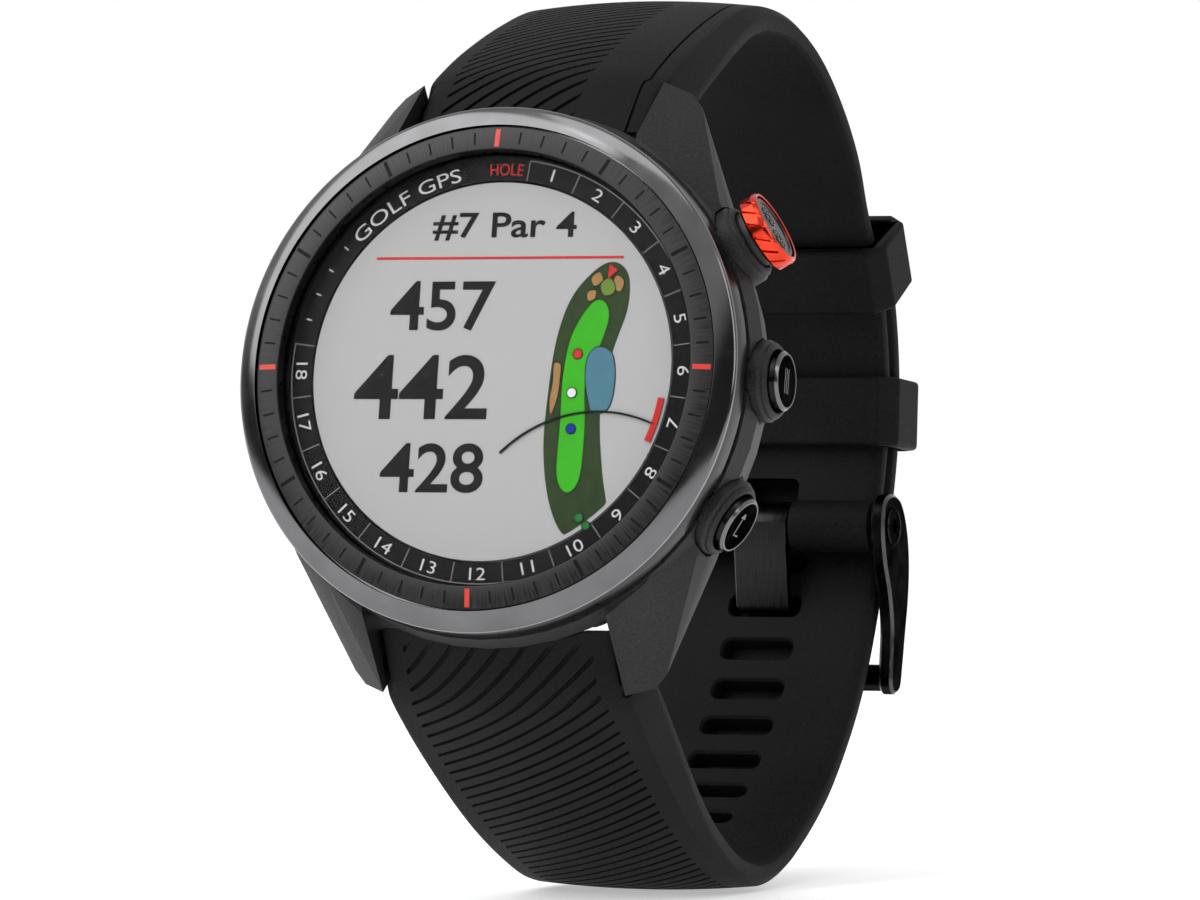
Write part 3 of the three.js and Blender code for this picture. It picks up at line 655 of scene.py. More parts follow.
def build_hole_ring():
    inner, outer = SCALE_R
    low, high = SCALE_Z
    ring = lathe("hole_ring", [(inner, low), (outer, low), (outer, high), (inner, high)], DIAL,
                 GLOSS_BLACK, segments=160)
    add_piece(ring, "watch", "scale_black", "hole_scale_ring")
    numerals = []
    for hole in range(1, 19):
        degrees = HOLE_STEP * hole
        turned_over = 180 if hole > 6 else 0
        numerals.append(lettering(f"numeral_{hole}", str(hole), 1.08, polar(NUMERAL_R, degrees), WHITE_INK,
                                  high, widen=1.25, turn=degrees + turned_over, weight=-0.004))
    add_piece(joined("hole_numerals", numerals), "watch", "scale_black")
    last_divider = FIRST_DIVIDER + 18 * HOLE_STEP
    dividers = [radial_bar(inner + 0.05, 18.82, FIRST_DIVIDER + HOLE_STEP * i, 0.045) for i in range(19)]
    dividers.append(arc_band(18.74, 18.84, FIRST_DIVIDER, last_divider, 180))
    lines = extrude("hole_dividers", dividers, high, high + LAYER, DIAL, GREY_INK)
    add_piece(lines, "watch", "scale_black")
    marks = [radial_bar(17.85, 18.35, degrees, 0.06) for degrees in (-52.8, -60.3, -67.8, -75.3)]
    add_piece(extrude("scale_marks", marks, high, high + LAYER, DIAL, WHITE_INK), "watch", "scale_black")
    words = lettering("ring_word_white", "GOLF GPS", 1.2, polar(NUMERAL_R, -31), WHITE_INK, high,
                      width=11.2, turn=-31, weight=-0.004, radius=NUMERAL_R)
    add_piece(words, "watch", "scale_black")
    red_word = lettering("ring_word_red", "HOLE", 1.05, polar(NUMERAL_R, 0.9), RED_INK, high,
                         width=3.1, turn=0.9, weight=0.004, radius=NUMERAL_R)
    add_piece(red_word, "watch", "scale_black")


# ---- the screen -----------------------------------------------------------------------------

def smooth_loop(points, steps=6):
    """Closed outline that runs smoothly through a few points."""
    count = len(points)
    result = []
    for i in range(count):
        p0, p1, p2, p3 = (Vector(points[(i + k - 1) % count]) for k in range(4))
        for step in range(steps):
            t = step / steps
            place = 0.5 * (2 * p1 + (p2 - p0) * t + (2 * p0 - 5 * p1 + 4 * p2 - p3) * t * t
                           + (3 * p1 - p0 - 3 * p2 + p3) * t ** 3)
            result.append(tuple(place))
    return result


def circle(place, radius, count=28):
    angles = [2 * math.pi * i / count for i in range(count)]
    return [(place[0] + radius * math.cos(a), place[1] + radius * math.sin(a)) for a in angles]


def ribbon(points, half_width):
    """Outline of a line of even width through [x, y] points."""
    line = [Vector(p) for p in points]
    left, right = [], []
    for i, point in enumerate(line):
        along = (line[min(i + 1, len(line) - 1)] - line[max(i - 1, 0)]).normalized()
        side = Vector((-along.y, along.x)) * half_width
        left.append(tuple(point + side))
        right.append(tuple(point - side))
    return left + right[::-1]


def inside_screen(outline):
    """Keeps an outline's points within the round screen."""
    limit = DISPLAY_R - 0.35
    result = []
    for x, y in outline:
        distance = math.hypot(x, y)
        shrink = min(1, limit / distance)
        result.append((x * shrink, y * shrink))
    return result


def grown(outline, amount):
    """Closed outline moved outwards by an amount."""
    points = [Vector(p) for p in outline]
    turning = sum(a.x * b.y - a.y * b.x for a, b in zip(points, points[1:] + points[:1]))
    side = amount if turning > 0 else -amount
    result = []
    for i, point in enumerate(points):
        along = (points[(i + 1) % len(points)] - points[i - 1]).normalized()
        result.append(tuple(point + Vector((along.y, -along.x)) * side))
    return result


def build_hole_map():
    """Own drawing of a golf hole: rough, fairway, green, sand, water, trees and three markers."""
    rough = smooth_loop([(9.3, 9.0), (11.0, 9.6), (12.3, 8.4), (12.4, 5.6), (11.4, 2.2), (10.5, -1.4),
                         (10.5, -5.0), (11.0, -9.0), (11.6, -12.6), (10.4, -14.4), (8.0, -14.6), (6.3, -11.8),
                         (5.4, -7.0), (5.5, -1.8), (6.0, 3.0), (7.2, 6.6)])
    layers = [
        ("map_rough_area", [inside_screen(rough)], ROUGH_GREEN),
        ("map_fairway_area", [smooth_loop([
            (9.0, 5.9), (10.2, 6.1), (10.7, 4.6), (9.9, 1.8), (8.9, -1.0), (9.1, -5.0), (8.9, -9.4),
            (7.8, -10.7), (6.8, -9.2), (6.8, -4.6), (6.8, -0.4), (7.4, 3.2),
        ])], FAIR_GREEN),
        ("map_water_area", [smooth_loop([
            (9.0, 1.2), (9.9, 2.1), (11.2, 1.5), (11.6, -0.8), (11.2, -3.2), (9.8, -3.7), (9.2, -2.2),
            (8.9, -0.6),
        ])], WATER),
        ("map_sand_areas", [smooth_loop(loop) for loop in (
            [(8.9, 8.2), (9.6, 8.7), (9.9, 8.0), (9.2, 7.5)],
            [(11.2, 8.4), (11.9, 7.9), (11.6, 7.0), (10.9, 7.5)],
            [(8.6, 6.9), (9.3, 7.1), (9.3, 6.4), (8.7, 6.2)],
            [(5.9, 0.6), (6.5, 0.5), (6.5, -0.8), (6.4, -2.2), (5.9, -3.8), (5.7, -2.6), (5.9, -1.0)],
        )], SAND),
        ("map_green_area", [smooth_loop([(9.8, 7.6), (10.5, 8.2), (11.1, 7.5), (10.9, 6.8), (10.1, 6.7)])],
         GREEN_GREEN),
        ("map_tree_dots", [circle((9.1, -12.9), 0.38), circle((9.8, -13.6), 0.34)], TREE_GREEN),
        ("map_markers_red", [circle((8.04, 1.49), 0.4),
                             [(10.4, 8.1), (11.3, 8.9), (10.5, 9.4)]], RED_INK),
        ("map_marker_blue", [circle((7.84, -5.12), 0.4)], BLUE_INK),
        ("map_marker_white", [circle((7.72, -1.95), 0.4)], WHITE_INK),
    ]
    for number, (name, outlines, material) in enumerate(layers):
        top = DISPLAY_Z + LAYER * (1 + 0.4 * number)
        area = extrude(name, outlines, DISPLAY_Z, top, DIAL, material)
        add_piece(area, "watch", "display")
        if number:
            edges = [grown(outline, 0.09) for outline in outlines]
            line = extrude(f"{name}_edge", edges, DISPLAY_Z, top - LAYER * 0.2, DIAL, SCREEN_INK)
            add_piece(line, "watch", "display")


def build_screen():
    outline = [(0, -3.1), (DISPLAY_R, -3.1), (DISPLAY_R, DISPLAY_Z), (0, DISPLAY_Z)]
    panel = lathe("screen_panel", outline, DIAL, SCREEN, segments=128)
    add_piece(panel, "watch", "display", "display_panel")
    build_hole_map()
    lines = [
        ("screen_header", "#7 Par 4", 2.5, 13.5, (0.4, 12.85)),
        ("screen_back_yards", "457", 4.45, 9.8, (-4.95, 5.78)),
        ("screen_middle_yards", "442", 5.7, 12.6, (-6.45, -1.42)),
        ("screen_front_yards", "428", 4.4, 9.7, (-4.95, -8.6)),
    ]
    for name, text, height, width, place in lines:
        letters = lettering(name, text, height, place, SCREEN_INK, DISPLAY_Z, width=width, weight=0.014)
        add_piece(letters, "watch", "display")
    rule = [(-11.5, 9.92), (11.75, 9.92), (11.75, 10.14), (-11.5, 10.14)]
    add_piece(extrude("screen_rule", [rule], DISPLAY_Z, DISPLAY_Z + LAYER, DIAL, RED_INK), "watch", "display")
    arc_middle, arc_radius = (10.3, -16.3), 12.7
    arc = [(arc_middle[0] + arc_radius * math.sin(a), arc_middle[1] + arc_radius * math.cos(a))
           for a in np.linspace(-0.78, 0.42, 40)]
    top = DISPLAY_Z + LAYER * 6
    curve = extrude("screen_arc", [ribbon(arc, 0.09)], DISPLAY_Z, top, DIAL, SCREEN_INK)
    add_piece(curve, "watch", "display")
    bar = arc_band(15.95, 16.5, 98.5, 112.5, 20)
    add_piece(extrude("screen_bar", [bar], DISPLAY_Z, top, DIAL, RED_INK), "watch", "display")


# ---- buttons --------------------------------------------------------------------------------

def button_frame(name):
    """Local frame with z along the button and its origin on the dial's axis."""
    angle = 90 - BUTTON_ANGLES[name]
    return (DIAL @ Matrix.Translation((0, 0, BUTTON_Z)) @ Matrix.Rotation(math.radians(angle), 4, "Z")
            @ Matrix.Rotation(math.pi / 2, 4, "Y"))


def build_guard(name):
    top = GUARD_TOPS[name]
    outline = bevel_corners([
        (2.8, GUARD_BOTTOM), (3.6, GUARD_BOTTOM), (3.6, top - 0.75), (3.35, top - 0.5), (3.35, top - 0.3),
        (3.1, top), (2.8, top),
    ], {2: 0.08, 5: 0.1, 6: 0.05})
    guard = lathe(f"{name}_collar", outline, button_frame(name), POLYMER, segments=72)
    add_piece(guard, "watch", "case_polymer", f"{name}_button_guard")


def build_red_ring():
    """Ring with slanted cuts round its side and a chamfer at both ends."""
    face = BUTTON_FACES["upper"]
    cuts = 16
    fractions = (0, 0.07, 0.15, 0.22, 0.45, 0.72)
    rises = (0, 1, 1, 0, 0, 0)
    heights = [(face - 1.5, 0.25), (face - 1.38, 1), (face - 0.95, 1), (face - 0.5, 1), (face - 0.42, 0.25)]
    outline = [(3.06, face - 1.7, 0), (3.18, face - 1.75, 0), (3.42, face - 1.58, 0)]
    outline += [(3.5, height, share) for height, share in heights]
    outline += [(3.4, face - 0.16, 0), (3.24, face, 0), (3.06, face - 0.04, 0)]
    vertices, faces = [], []
    columns = cuts * len(fractions)
    for i in range(columns):
        cut, part = divmod(i, len(fractions))
        for radius, height, share in outline:
            slant = CUT_SLANT * (height - face + 1) / radius
            angle = 2 * math.pi * (cut + fractions[part]) / cuts + slant
            depth = radius - CUT_DEPTH * rises[part] * share
            vertices.append((depth * math.cos(angle), depth * math.sin(angle), height))
    count = len(outline)
    for i in range(columns):
        here, there = i * count, (i + 1) % columns * count
        for j in range(count):
            k = (j + 1) % count
            faces.append((here + j, there + j, there + k, here + k))
    ring = mesh_object("red_button_ring", vertices, faces, button_frame("upper"), RED_METAL)
    add_piece(ring, "upper_button", "red_metal", "upper_button_ring")


def build_upper_cap():
    """Grey cap with two lobes of fine ribs sunk into its face."""
    face = BUTTON_FACES["upper"] - 0.14
    bottom = GUARD_TOPS["upper"] - 1.3
    outline = bevel_corners([
        (0, bottom), (2.6, bottom), (2.6, face - 1.5), (2.92, face - 1.3), (2.92, face), (2.55, face),
        (2.5, face - 0.1), (0, face - 0.1),
    ], {4: 0.1})
    place = button_frame("upper")
    # The cap's sides, down in the gap inside the red ring, are near black: painted shade of the gap.
    cap = lathe("upper_cap", outline, place, CAP_METAL, GAP_PAINTED_SHADE, segments=72, slots={0: 1, 1: 1, 2: 1, 3: 1})
    add_piece(cap, "upper_button", "dark_metal", "upper_button_cap")
    ribs = []
    for centre in (-1.15, 1.15):
        for radius in (0.32, 0.62, 0.92):
            outer, inner = radius + 0.07, radius - 0.07
            for part in range(8):
                start = part * 45 + 6
                loop = arc_band(inner, outer, start, start + 33, 5)
                ribs.append([(x, y + centre) for x, y in loop])
    high = face - 0.1
    raised = extrude("upper_cap_ribs", ribs, high - 0.02, high + 0.09, place, BRIGHT_EDGE)
    add_piece(raised, "upper_button", "dark_metal")


def build_round_cap(name):
    face = BUTTON_FACES[name]
    bottom = GUARD_TOPS[name] - 1.3
    outline = bevel_corners([
        (0, bottom), (2.65, bottom), (2.65, face - 0.28), (2.42, face), (2.28, face), (2.22, face - 0.06),
        (0, face - 0.06),
    ], {2: 0.05})
    slots = {4: 1, 5: 1}
    cap = lathe(f"{name}_cap", outline, button_frame(name), DARK_METAL, BRIGHT_EDGE, segments=72, slots=slots)
    add_piece(cap, f"{name}_button", "dark_metal", f"{name}_button_cap")
    if name == "middle":
        marks = [[(x - 0.07, -1.1), (x + 0.07, -1.1), (x + 0.07, 1.1), (x - 0.07, 1.1)]
                 for x in (-0.42, 0, 0.42)]
    else:
        bend = [(0.5, -0.9), (-0.45, -0.9), (-0.45, 0.75)]
        marks = [ribbon(bend, 0.09), [(-0.95, 0.7), (0.05, 0.7), (-0.45, 1.25)]]
    sign = extrude(f"{name}_cap_sign", marks, face - 0.08, face - 0.02, button_frame(name), BRIGHT_EDGE)
    add_piece(sign, f"{name}_button", "dark_metal")


# ---- straps ---------------------------------------------------------------------------------

def on_arc(radius, degrees):
    return (ARC_CENTRE[0] + radius * math.cos(math.radians(degrees)),
            ARC_CENTRE[1] + radius * math.sin(math.radians(degrees)))


def arc_points(radius, start, end, steps):
    return [on_arc(radius, start + (end - start) * i / steps) for i in range(steps + 1)]


# Middle of each strap's outer face, as [back, up] from the dial's centre, from lug end to free end.
HOLE_STRAP_LINE = [
    (2.4, -23.9), (4.9, -29.2), (8.9, -32.7), (18.1, -38.9), (24.5, -42.5), (30.9, -45.3), (36.5, -47.15),
    (42.2, -47.85), (48.0, -46.95), (53.2, -44.85), (58.0, -42.3), (62.2, -39.4), (69.4, -32.4),
    (74.8, -23.8), *arc_points(HOLE_ARC_R, -20, 31, 6),
]
BUCKLE_STRAP_LINE = [
    (10.6, 21.6), (14.7, 25.7), (19.5, 28.1), (25.0, 30.1), (31.2, 31.9), (37.8, 33.3), (44.0, 33.5),
    (51.6, 32.4), (58.6, 29.5), (64.9, 24.9), (69.1, 20.3), *arc_points(BUCKLE_ARC_R, 40, -19, 7),
    (75.0, -15.0),
]


class StrapLine:
    """Smooth line through points, with its place and direction at any distance along it."""

    def __init__(self, points):
        points = [np.array(p, float) for p in points]
        ends = [2 * points[0] - points[1], *points, 2 * points[-1] - points[-2]]
        dense = []
        t = np.linspace(0, 1, 60, endpoint=False)[:, None]
        for p0, p1, p2, p3 in zip(ends, ends[1:], ends[2:], ends[3:]):
            g0, g1, g2 = (math.sqrt(np.linalg.norm(b - a)) for a, b in ((p0, p1), (p1, p2), (p2, p3)))
            m1 = ((p1 - p0) / g0 - (p2 - p0) / (g0 + g1) + (p2 - p1) / g1) * g1
            m2 = ((p2 - p1) / g1 - (p3 - p1) / (g1 + g2) + (p3 - p2) / g2) * g1
            dense.append(p1 * (2 * t**3 - 3 * t**2 + 1) + m1 * (t**3 - 2 * t**2 + t)
                         + p2 * (3 * t**2 - 2 * t**3) + m2 * (t**3 - t**2))
        self.points = np.vstack([*dense, points[-1][None]])
        steps = np.linalg.norm(np.diff(self.points, axis=0), axis=1)
        self.distance = np.concatenate([[0], np.cumsum(steps)])
        self.length = self.distance[-1]
        self.direction = np.gradient(self.points, self.distance, axis=0)
        self.direction /= np.linalg.norm(self.direction, axis=1)[:, None]
        self.side = 1 if points[0][0] > 5 else -1

    def at(self, distance):
        """Places, directions and inward normals at distances along the line."""
        place = np.stack([np.interp(distance, self.distance, self.points[:, k]) for k in (0, 1)], -1)
        place = place + np.minimum(distance, 0)[..., None] * self.direction[0]
        along = np.stack([np.interp(distance, self.distance, self.direction[:, k]) for k in (0, 1)], -1)
        along /= np.linalg.norm(along, axis=-1, keepdims=True)
        inward = self.side * np.stack([along[..., 1], -along[..., 0]], -1)
        return place, along, inward

    def nearest(self, place):
        return self.distance[np.argmin(np.linalg.norm(self.points - np.array(place), axis=1))]


def smoothstep(value, low, high):
    t = np.clip((value - low) / (high - low), 0, 1)
    return t * t * (3 - 2 * t)


def lerp(a, b, t):
    return a + (b - a) * t


FACE_COLUMNS = np.unique(np.concatenate([np.linspace(-0.95, 0.95, 39), [-0.83, -0.81, 0.81, 0.83]]))
SIDE_WEIGHTS = np.array([
    # face edge, crown edge, facet edge, lower side, inner corner
    [0.3, 0.7, 0, 0, 0],
    [0.04, 0.93, 0.03, 0, 0],
    [0, 0.88, 0.12, 0, 0],
    [0, 0.5, 0.5, 0, 0],
    [0, 0.1, 0.9, 0, 0],
    [0, 0.01, 0.94, 0.05, 0],
    [0, 0, 0.84, 0.16, 0],
    [0, 0, 0.2, 0.8, 0],
    [0, 0, 0.05, 0.8, 0.15],
    [0, 0, 0, 0.45, 0.55],
    [0, 0, 0, 0.1, 0.9],
])
INNER_COLUMNS = np.linspace(0.94, -0.94, 9)


def section(distance):
    """Face's half width, crown, thickness, half width and corner points of the strap at distances."""
    narrowing = smoothstep(distance, SHOULDER_AT, 42)
    out_of_lugs = smoothstep(distance, SHOULDER_AT - 0.1, SHOULDER_AT + 0.5)
    half = lerp(LUG_HALF, lerp(SHOULDER_HALF, STRAP_HALF, narrowing), out_of_lugs)
    face = lerp(LUG_HALF - 0.5, lerp(11.3, STRAP_HALF - 0.7, narrowing), out_of_lugs)
    crown = lerp(1.2, 0.5, narrowing)
    facet = lerp(4.0, 1.2, narrowing)
    thick = lerp(*THICKNESS, smoothstep(distance, SHOULDER_AT, 46))
    zero = np.zeros_like(distance)
    corners = np.array([
        [0.95 * face, 0.9 * crown], [face, crown], [half, facet], [half, thick - 0.3 + zero],
        [half - 0.8, thick],
    ])
    return face, crown, thick, half, corners


def rib_table(line_length):
    """Groove count as a function of distance: the grooves steepen towards the lug."""
    distance = np.linspace(0, line_length, 4000)
    slope = RIB_SLOPE * (1 + 1.1 * np.exp(-distance / 5.0))
    count = np.concatenate([[0], np.cumsum(np.diff(distance) / slope[1:])])
    return distance, count


def strap_rings(line, rib_side, ribbed_to):
    """Distances along the strap of every section point, ring by ring, and the groove depths.

    Between RIB_START and RIB_END the rings follow the slanting grooves; elsewhere they are square."""
    weights = len(SIDE_WEIGHTS)
    shear = np.concatenate([FACE_COLUMNS, np.ones(weights), INNER_COLUMNS, -np.ones(weights)])
    table_distance, table_count = rib_table(line.length)
    first = np.interp(RIB_START, table_distance, table_count) - RIB_REACH
    last = np.interp(RIB_END, table_distance, table_count) + RIB_REACH
    rows, depths = [], []
    for distance in (-STRAP_LEAD, 0.5 * (RIB_START - STRAP_LEAD)):
        rows.append(np.full(shear.shape, distance))
        depths.append(np.zeros(shear.shape))
    on_face = np.arange(len(shear)) < len(FACE_COLUMNS)
    in_band = on_face & (shear > -0.82) & (shear < ribbed_to)
    grooves = int((last - first) / RIB_PITCH) + 1
    for groove in range(grooves):
        for offset, depth in ((0, 0), (0.05, 0.8), (0.14, 1), (0.23, 0.8), (0.28, 0), (0.62, 0)):
            count = first + (groove + offset) * RIB_PITCH + rib_side * shear * RIB_REACH
            distance = np.interp(count, table_count, table_distance)
            held = np.clip(distance, RIB_START, RIB_END)
            fade = smoothstep(distance, RIB_START, RIB_START + 0.8)
            fade = fade * smoothstep(-distance, -RIB_END, 2 - RIB_END)
            rows.append(held)
            depths.append(np.where(in_band, depth * fade * RIB_DEPTH, 0))
    rest = np.linspace(RIB_END, line.length, int((line.length - RIB_END) / 1.1) + 1)
    for distance in rest:
        rows.append(np.full(shear.shape, distance))
        depths.append(np.zeros(shear.shape))
    return np.array(rows), np.array(depths)


def strap_body(name, line, start_across, rib_side, ribbed_to):
    """Closed strap body with its grooves, before its holes are cut."""
    rows, depths = strap_rings(line, rib_side, ribbed_to)
    columns = rows.shape[1]
    faces_at = len(FACE_COLUMNS)
    weights = len(SIDE_WEIGHTS)
    x = np.zeros_like(rows)
    depth = np.zeros_like(rows)
    for j in range(columns):
        face, crown, thick, half, corners = section(rows[:, j])
        if j < faces_at:
            widening = smoothstep(rows[:, j], 0, 2 * SHOULDER_AT)
            x[:, j] = FACE_COLUMNS[j] * lerp(LUG_HALF - 0.5, face, widening)
            depth[:, j] = crown * FACE_COLUMNS[j] ** 2
        elif j < faces_at + weights:
            mixed = np.tensordot(SIDE_WEIGHTS[j - faces_at], corners, axes=(0, 0))
            x[:, j], depth[:, j] = mixed
        elif j < faces_at + weights + len(INNER_COLUMNS):
            x[:, j] = INNER_COLUMNS[j - faces_at - weights] * (half - 0.8)
            depth[:, j] = thick
        else:
            mixed = np.tensordot(SIDE_WEIGHTS[columns - 1 - j], corners, axes=(0, 0))
            x[:, j], depth[:, j] = -mixed[0], mixed[1]
    depth += depths
    place, _, inward = line.at(rows)
    turn = smoothstep(rows, 0, SHOULDER_AT)[..., None]
    inward = lerp(np.array(start_across), inward, turn)
    inward /= np.linalg.norm(inward, axis=-1, keepdims=True)
    flat = place + inward * depth[..., None]
    vertices = np.concatenate([x[..., None], flat], -1).reshape(-1, 3)
    faces = side_faces(len(rows), columns)
    faces.append(tuple(range(columns)))
    end = (len(rows) - 1) * columns
    faces.append(tuple(range(end + columns - 1, end - 1, -1)))
    body = mesh_object(name, vertices.tolist(), faces, BAND, SILICONE)
    return finish_mesh(body, merge=4e-6)


def strap_frame(line, distance):
    """Frame at a distance along a strap: x across, y along, z inwards from the outer face."""
    place, along, inward = line.at(np.array(distance))
    along, inward = Vector((0, *along)), Vector((0, *inward))
    centre = BAND @ Vector((0, *place))
    return basis(along.cross(inward), along, inward, centre)


def rounded_rectangle(width, height, radius, steps=5):
    corners = [(width / 2 - radius, height / 2 - radius, 0), (radius - width / 2, height / 2 - radius, 90),
               (radius - width / 2, radius - height / 2, 180), (width / 2 - radius, radius - height / 2, 270)]
    points = []
    for x, y, start in corners:
        for i in range(steps + 1):
            a = math.radians(start + 90 * i / steps)
            points.append((x + radius * math.cos(a), y + radius * math.sin(a)))
    return points


def flared_cutter(name, width, height, radius, levels, matrix):
    """Cutter whose outline grows at its mouths: levels are [depth, growth]."""
    rings = []
    for level, growth in levels:
        outline = rounded_rectangle(width + 2 * growth, height + 2 * growth, radius + growth)
        rings.append([(x, y, level) for x, y in outline])
    count = len(rings[0])
    vertices = [v for ring in rings for v in ring]
    faces = [tuple(reversed(range(count))), tuple(range((len(rings) - 1) * count, len(rings) * count))]
    return mesh_object(name, vertices, faces + side_faces(len(rings), count), matrix)


def case_room():
    """Cutter with the outline of the case, a little larger."""
    gap = CASE_ROOM
    outline = [(0, -17), (21.9 + gap, -17), (21.9 + gap, -11.5), (22.7 + gap, -10.8), (23.9 + gap, -6),
               (23.9 + gap, 2), (0, 2)]
    return lathe("case_room", outline, DIAL, segments=160)


def latch_pocket(line):
    levels = [(3.2, 0), (4.2, 0), (8.0, 0.3)]
    return flared_cutter("pocket", 9.0, 7.6, 1.0, levels, strap_frame(line, 10.0))


def rod(name, radius, low, high, centre, *materials, segments=48):
    """Round rod along x about a [back, up] centre."""
    along_x = BAND @ Matrix.Translation((0, *centre)) @ Matrix.Rotation(math.pi / 2, 4, "Y")
    outline = bevel_corners([(0, low), (radius, low), (radius, high), (0, high)],
                            {1: min(0.12, radius / 4), 2: min(0.12, radius / 4)})
    return lathe(name, outline, along_x, *materials, segments=segments)


def build_hole_strap():
    line = StrapLine(HOLE_STRAP_LINE)
    body = strap_body("strap_with_holes", line, (1, 0), -1, 0.82)
    tongue_hole = line.nearest(TONGUE_HOLE)
    cutters = []
    outer_mouth = [(-1.5, 1.4), (0.25, 0), (0.5, 0)]
    inner_mouth = [(0.85, 0), (2.45, 0), (3.6, 0.9)]
    for i in range(-HOLES_BEFORE_TONGUE, HOLES_AFTER_TONGUE + 1):
        matrix = strap_frame(line, tongue_hole + i * HOLE_PITCH)
        for side, levels in (("outer", outer_mouth), ("inner", inner_mouth)):
            cutters.append(flared_cutter(f"slot_{side}_{i}", *HOLE_SIZE, 0.75, levels, matrix))
    cutters.append(latch_pocket(line))
    apply_boolean(body, joined("slots", cutters), "DIFFERENCE")
    apply_boolean(body, case_room(), "DIFFERENCE")
    add_piece(body, "watch", "silicone", "hole_strap")


def build_buckle_strap():
    line = StrapLine(BUCKLE_STRAP_LINE)
    lean = 2 * math.atan2(DIAL_NORMAL.z, -DIAL_NORMAL.y)
    body = strap_body("strap_with_buckle", line, (math.cos(lean), -math.sin(lean)), 1, 0.36)
    apply_boolean(body, rod("roll", ROLL_R, -STRAP_HALF + 0.1, STRAP_HALF - 0.1, BUCKLE_PIN), "UNION")
    notch_place = BAND @ Matrix((
        (1, 0, 0, 0), (0, 0, 1, BUCKLE_PIN[0] - 3), (0, -1, 0, BUCKLE_PIN[1]), (0, 0, 0, 1),
    ))
    notch = flared_cutter("notch", 2 * TONGUE_HALF + 0.8, 9.0, 0.8, [(-4, 0), (10, 0)], notch_place)
    edge_groove = groove_cutter(line)
    apply_boolean(body, joined("cutters", [notch, latch_pocket(line), edge_groove]), "DIFFERENCE")
    apply_boolean(body, case_room(), "DIFFERENCE")
    add_piece(body, "watch", "silicone", "buckle_strap")


def groove_cutter(line):
    """Thin blade that follows the right edge of the upper strap's face and cuts its border line."""
    distances = np.linspace(-2.0, 50.0, 90)
    place, _, inward = line.at(distances)
    half_width, depth = 0.12, 0.22
    vertices = []
    for i, distance in enumerate(distances):
        face, crown, _, _, _ = section(np.array(distance))
        x = BORDER_AT * face
        surface = crown * BORDER_AT**2
        for dx, level in ((-half_width, -0.6), (half_width, -0.6), (half_width, depth), (-half_width, depth)):
            flat = place[i] + inward[i] * (surface + level)
            vertices.append((x + dx, *flat))
    last = 4 * (len(distances) - 1)
    faces = side_faces(len(distances), 4) + [(0, 1, 2, 3), (last + 3, last + 2, last + 1, last)]
    return mesh_object("border", vertices, faces, BAND)


# ---- buckle ---------------------------------------------------------------------------------

# Side of a buckle arm as [back, up] from the dial's centre.
ARM_OUTLINE = [
    (70.6, -12.9), (72.6, -11.95), (75.2, -12.5), (77.0, -14.9), (77.75, -18.2), (77.5, -21.8),
    (76.6, -25.3), (75.8, -28.4), (75.1, -30.4), (73.6, -30.95), (72.5, -30.1), (72.6, -27.6),
    (72.9, -24.6), (72.2, -21.4), (70.9, -18.6), (70.15, -15.6),
]


def plate_with_edges(name, outline, low, high, edge, matrix, *materials):
    """Plate across z with chamfered edges, from a closed outline; a second material is the edges'."""
    points = [Vector(p) for p in outline]
    count = len(points)
    inset = []
    for i, point in enumerate(points):
        along = (points[(i + 1) % count] - points[i - 1]).normalized()
        inset.append(point + Vector((along.y, -along.x)) * edge)
    levels = [(low, inset), (low + edge, points), (high - edge, points), (high, inset)]
    vertices = [(p.x, p.y, level) for level, ring in levels for p in ring]
    faces = [tuple(reversed(range(count))), tuple(range(3 * count, 4 * count))]
    plate = mesh_object(name, vertices, faces + side_faces(4, count), matrix, *materials)
    if len(materials) > 1:
        for face in plate.data.polygons:
            across = abs((matrix.to_3x3().inverted() @ face.normal).normalized().z)
            face.material_index = 1 if 0.2 < across < 0.95 else 0
    return plate


SIDE_VIEW = BAND @ Matrix(((0, 0, 1, 0), (1, 0, 0, 0), (0, 1, 0, 0), (0, 0, 0, 1)))


def build_buckle():
    outline = smooth_loop(ARM_OUTLINE, 5)
    arms = []
    for name, low, high in (("arm_right", *ARM_X), ("arm_left", -ARM_X[1], -ARM_X[0])):
        arms.append(plate_with_edges(name, outline, low, high, ARM_CHAMFER, SIDE_VIEW, DARK_METAL,
                                     EDGE_METAL))
    bar_place = BAND @ Matrix.Translation((0, *CROSSBAR)) @ Matrix.Rotation(math.pi / 2, 4, "Y")
    bar = extrude("bar", [rounded_rectangle(2.5, 2.5, 0.9, 6)], 0.5 - ARM_X[1], ARM_X[1] - 0.5, bar_place,
                  DARK_METAL)
    for other in (arms[1], bar):
        apply_boolean(arms[0], other, "UNION")
    holes = [rod("hole", PIN_BORE_R, -14, 14, BUCKLE_PIN), rod("sink", SCREW_SINK_R, 12.35, 14, BUCKLE_PIN),
             rod("sink", SCREW_SINK_R, -14, -12.35, BUCKLE_PIN)]
    frame_piece = apply_boolean(arms[0], joined("holes", holes), "DIFFERENCE")
    frame_piece.name = "buckle_loop"
    add_piece(frame_piece, "buckle", "dark_metal", "buckle_frame")


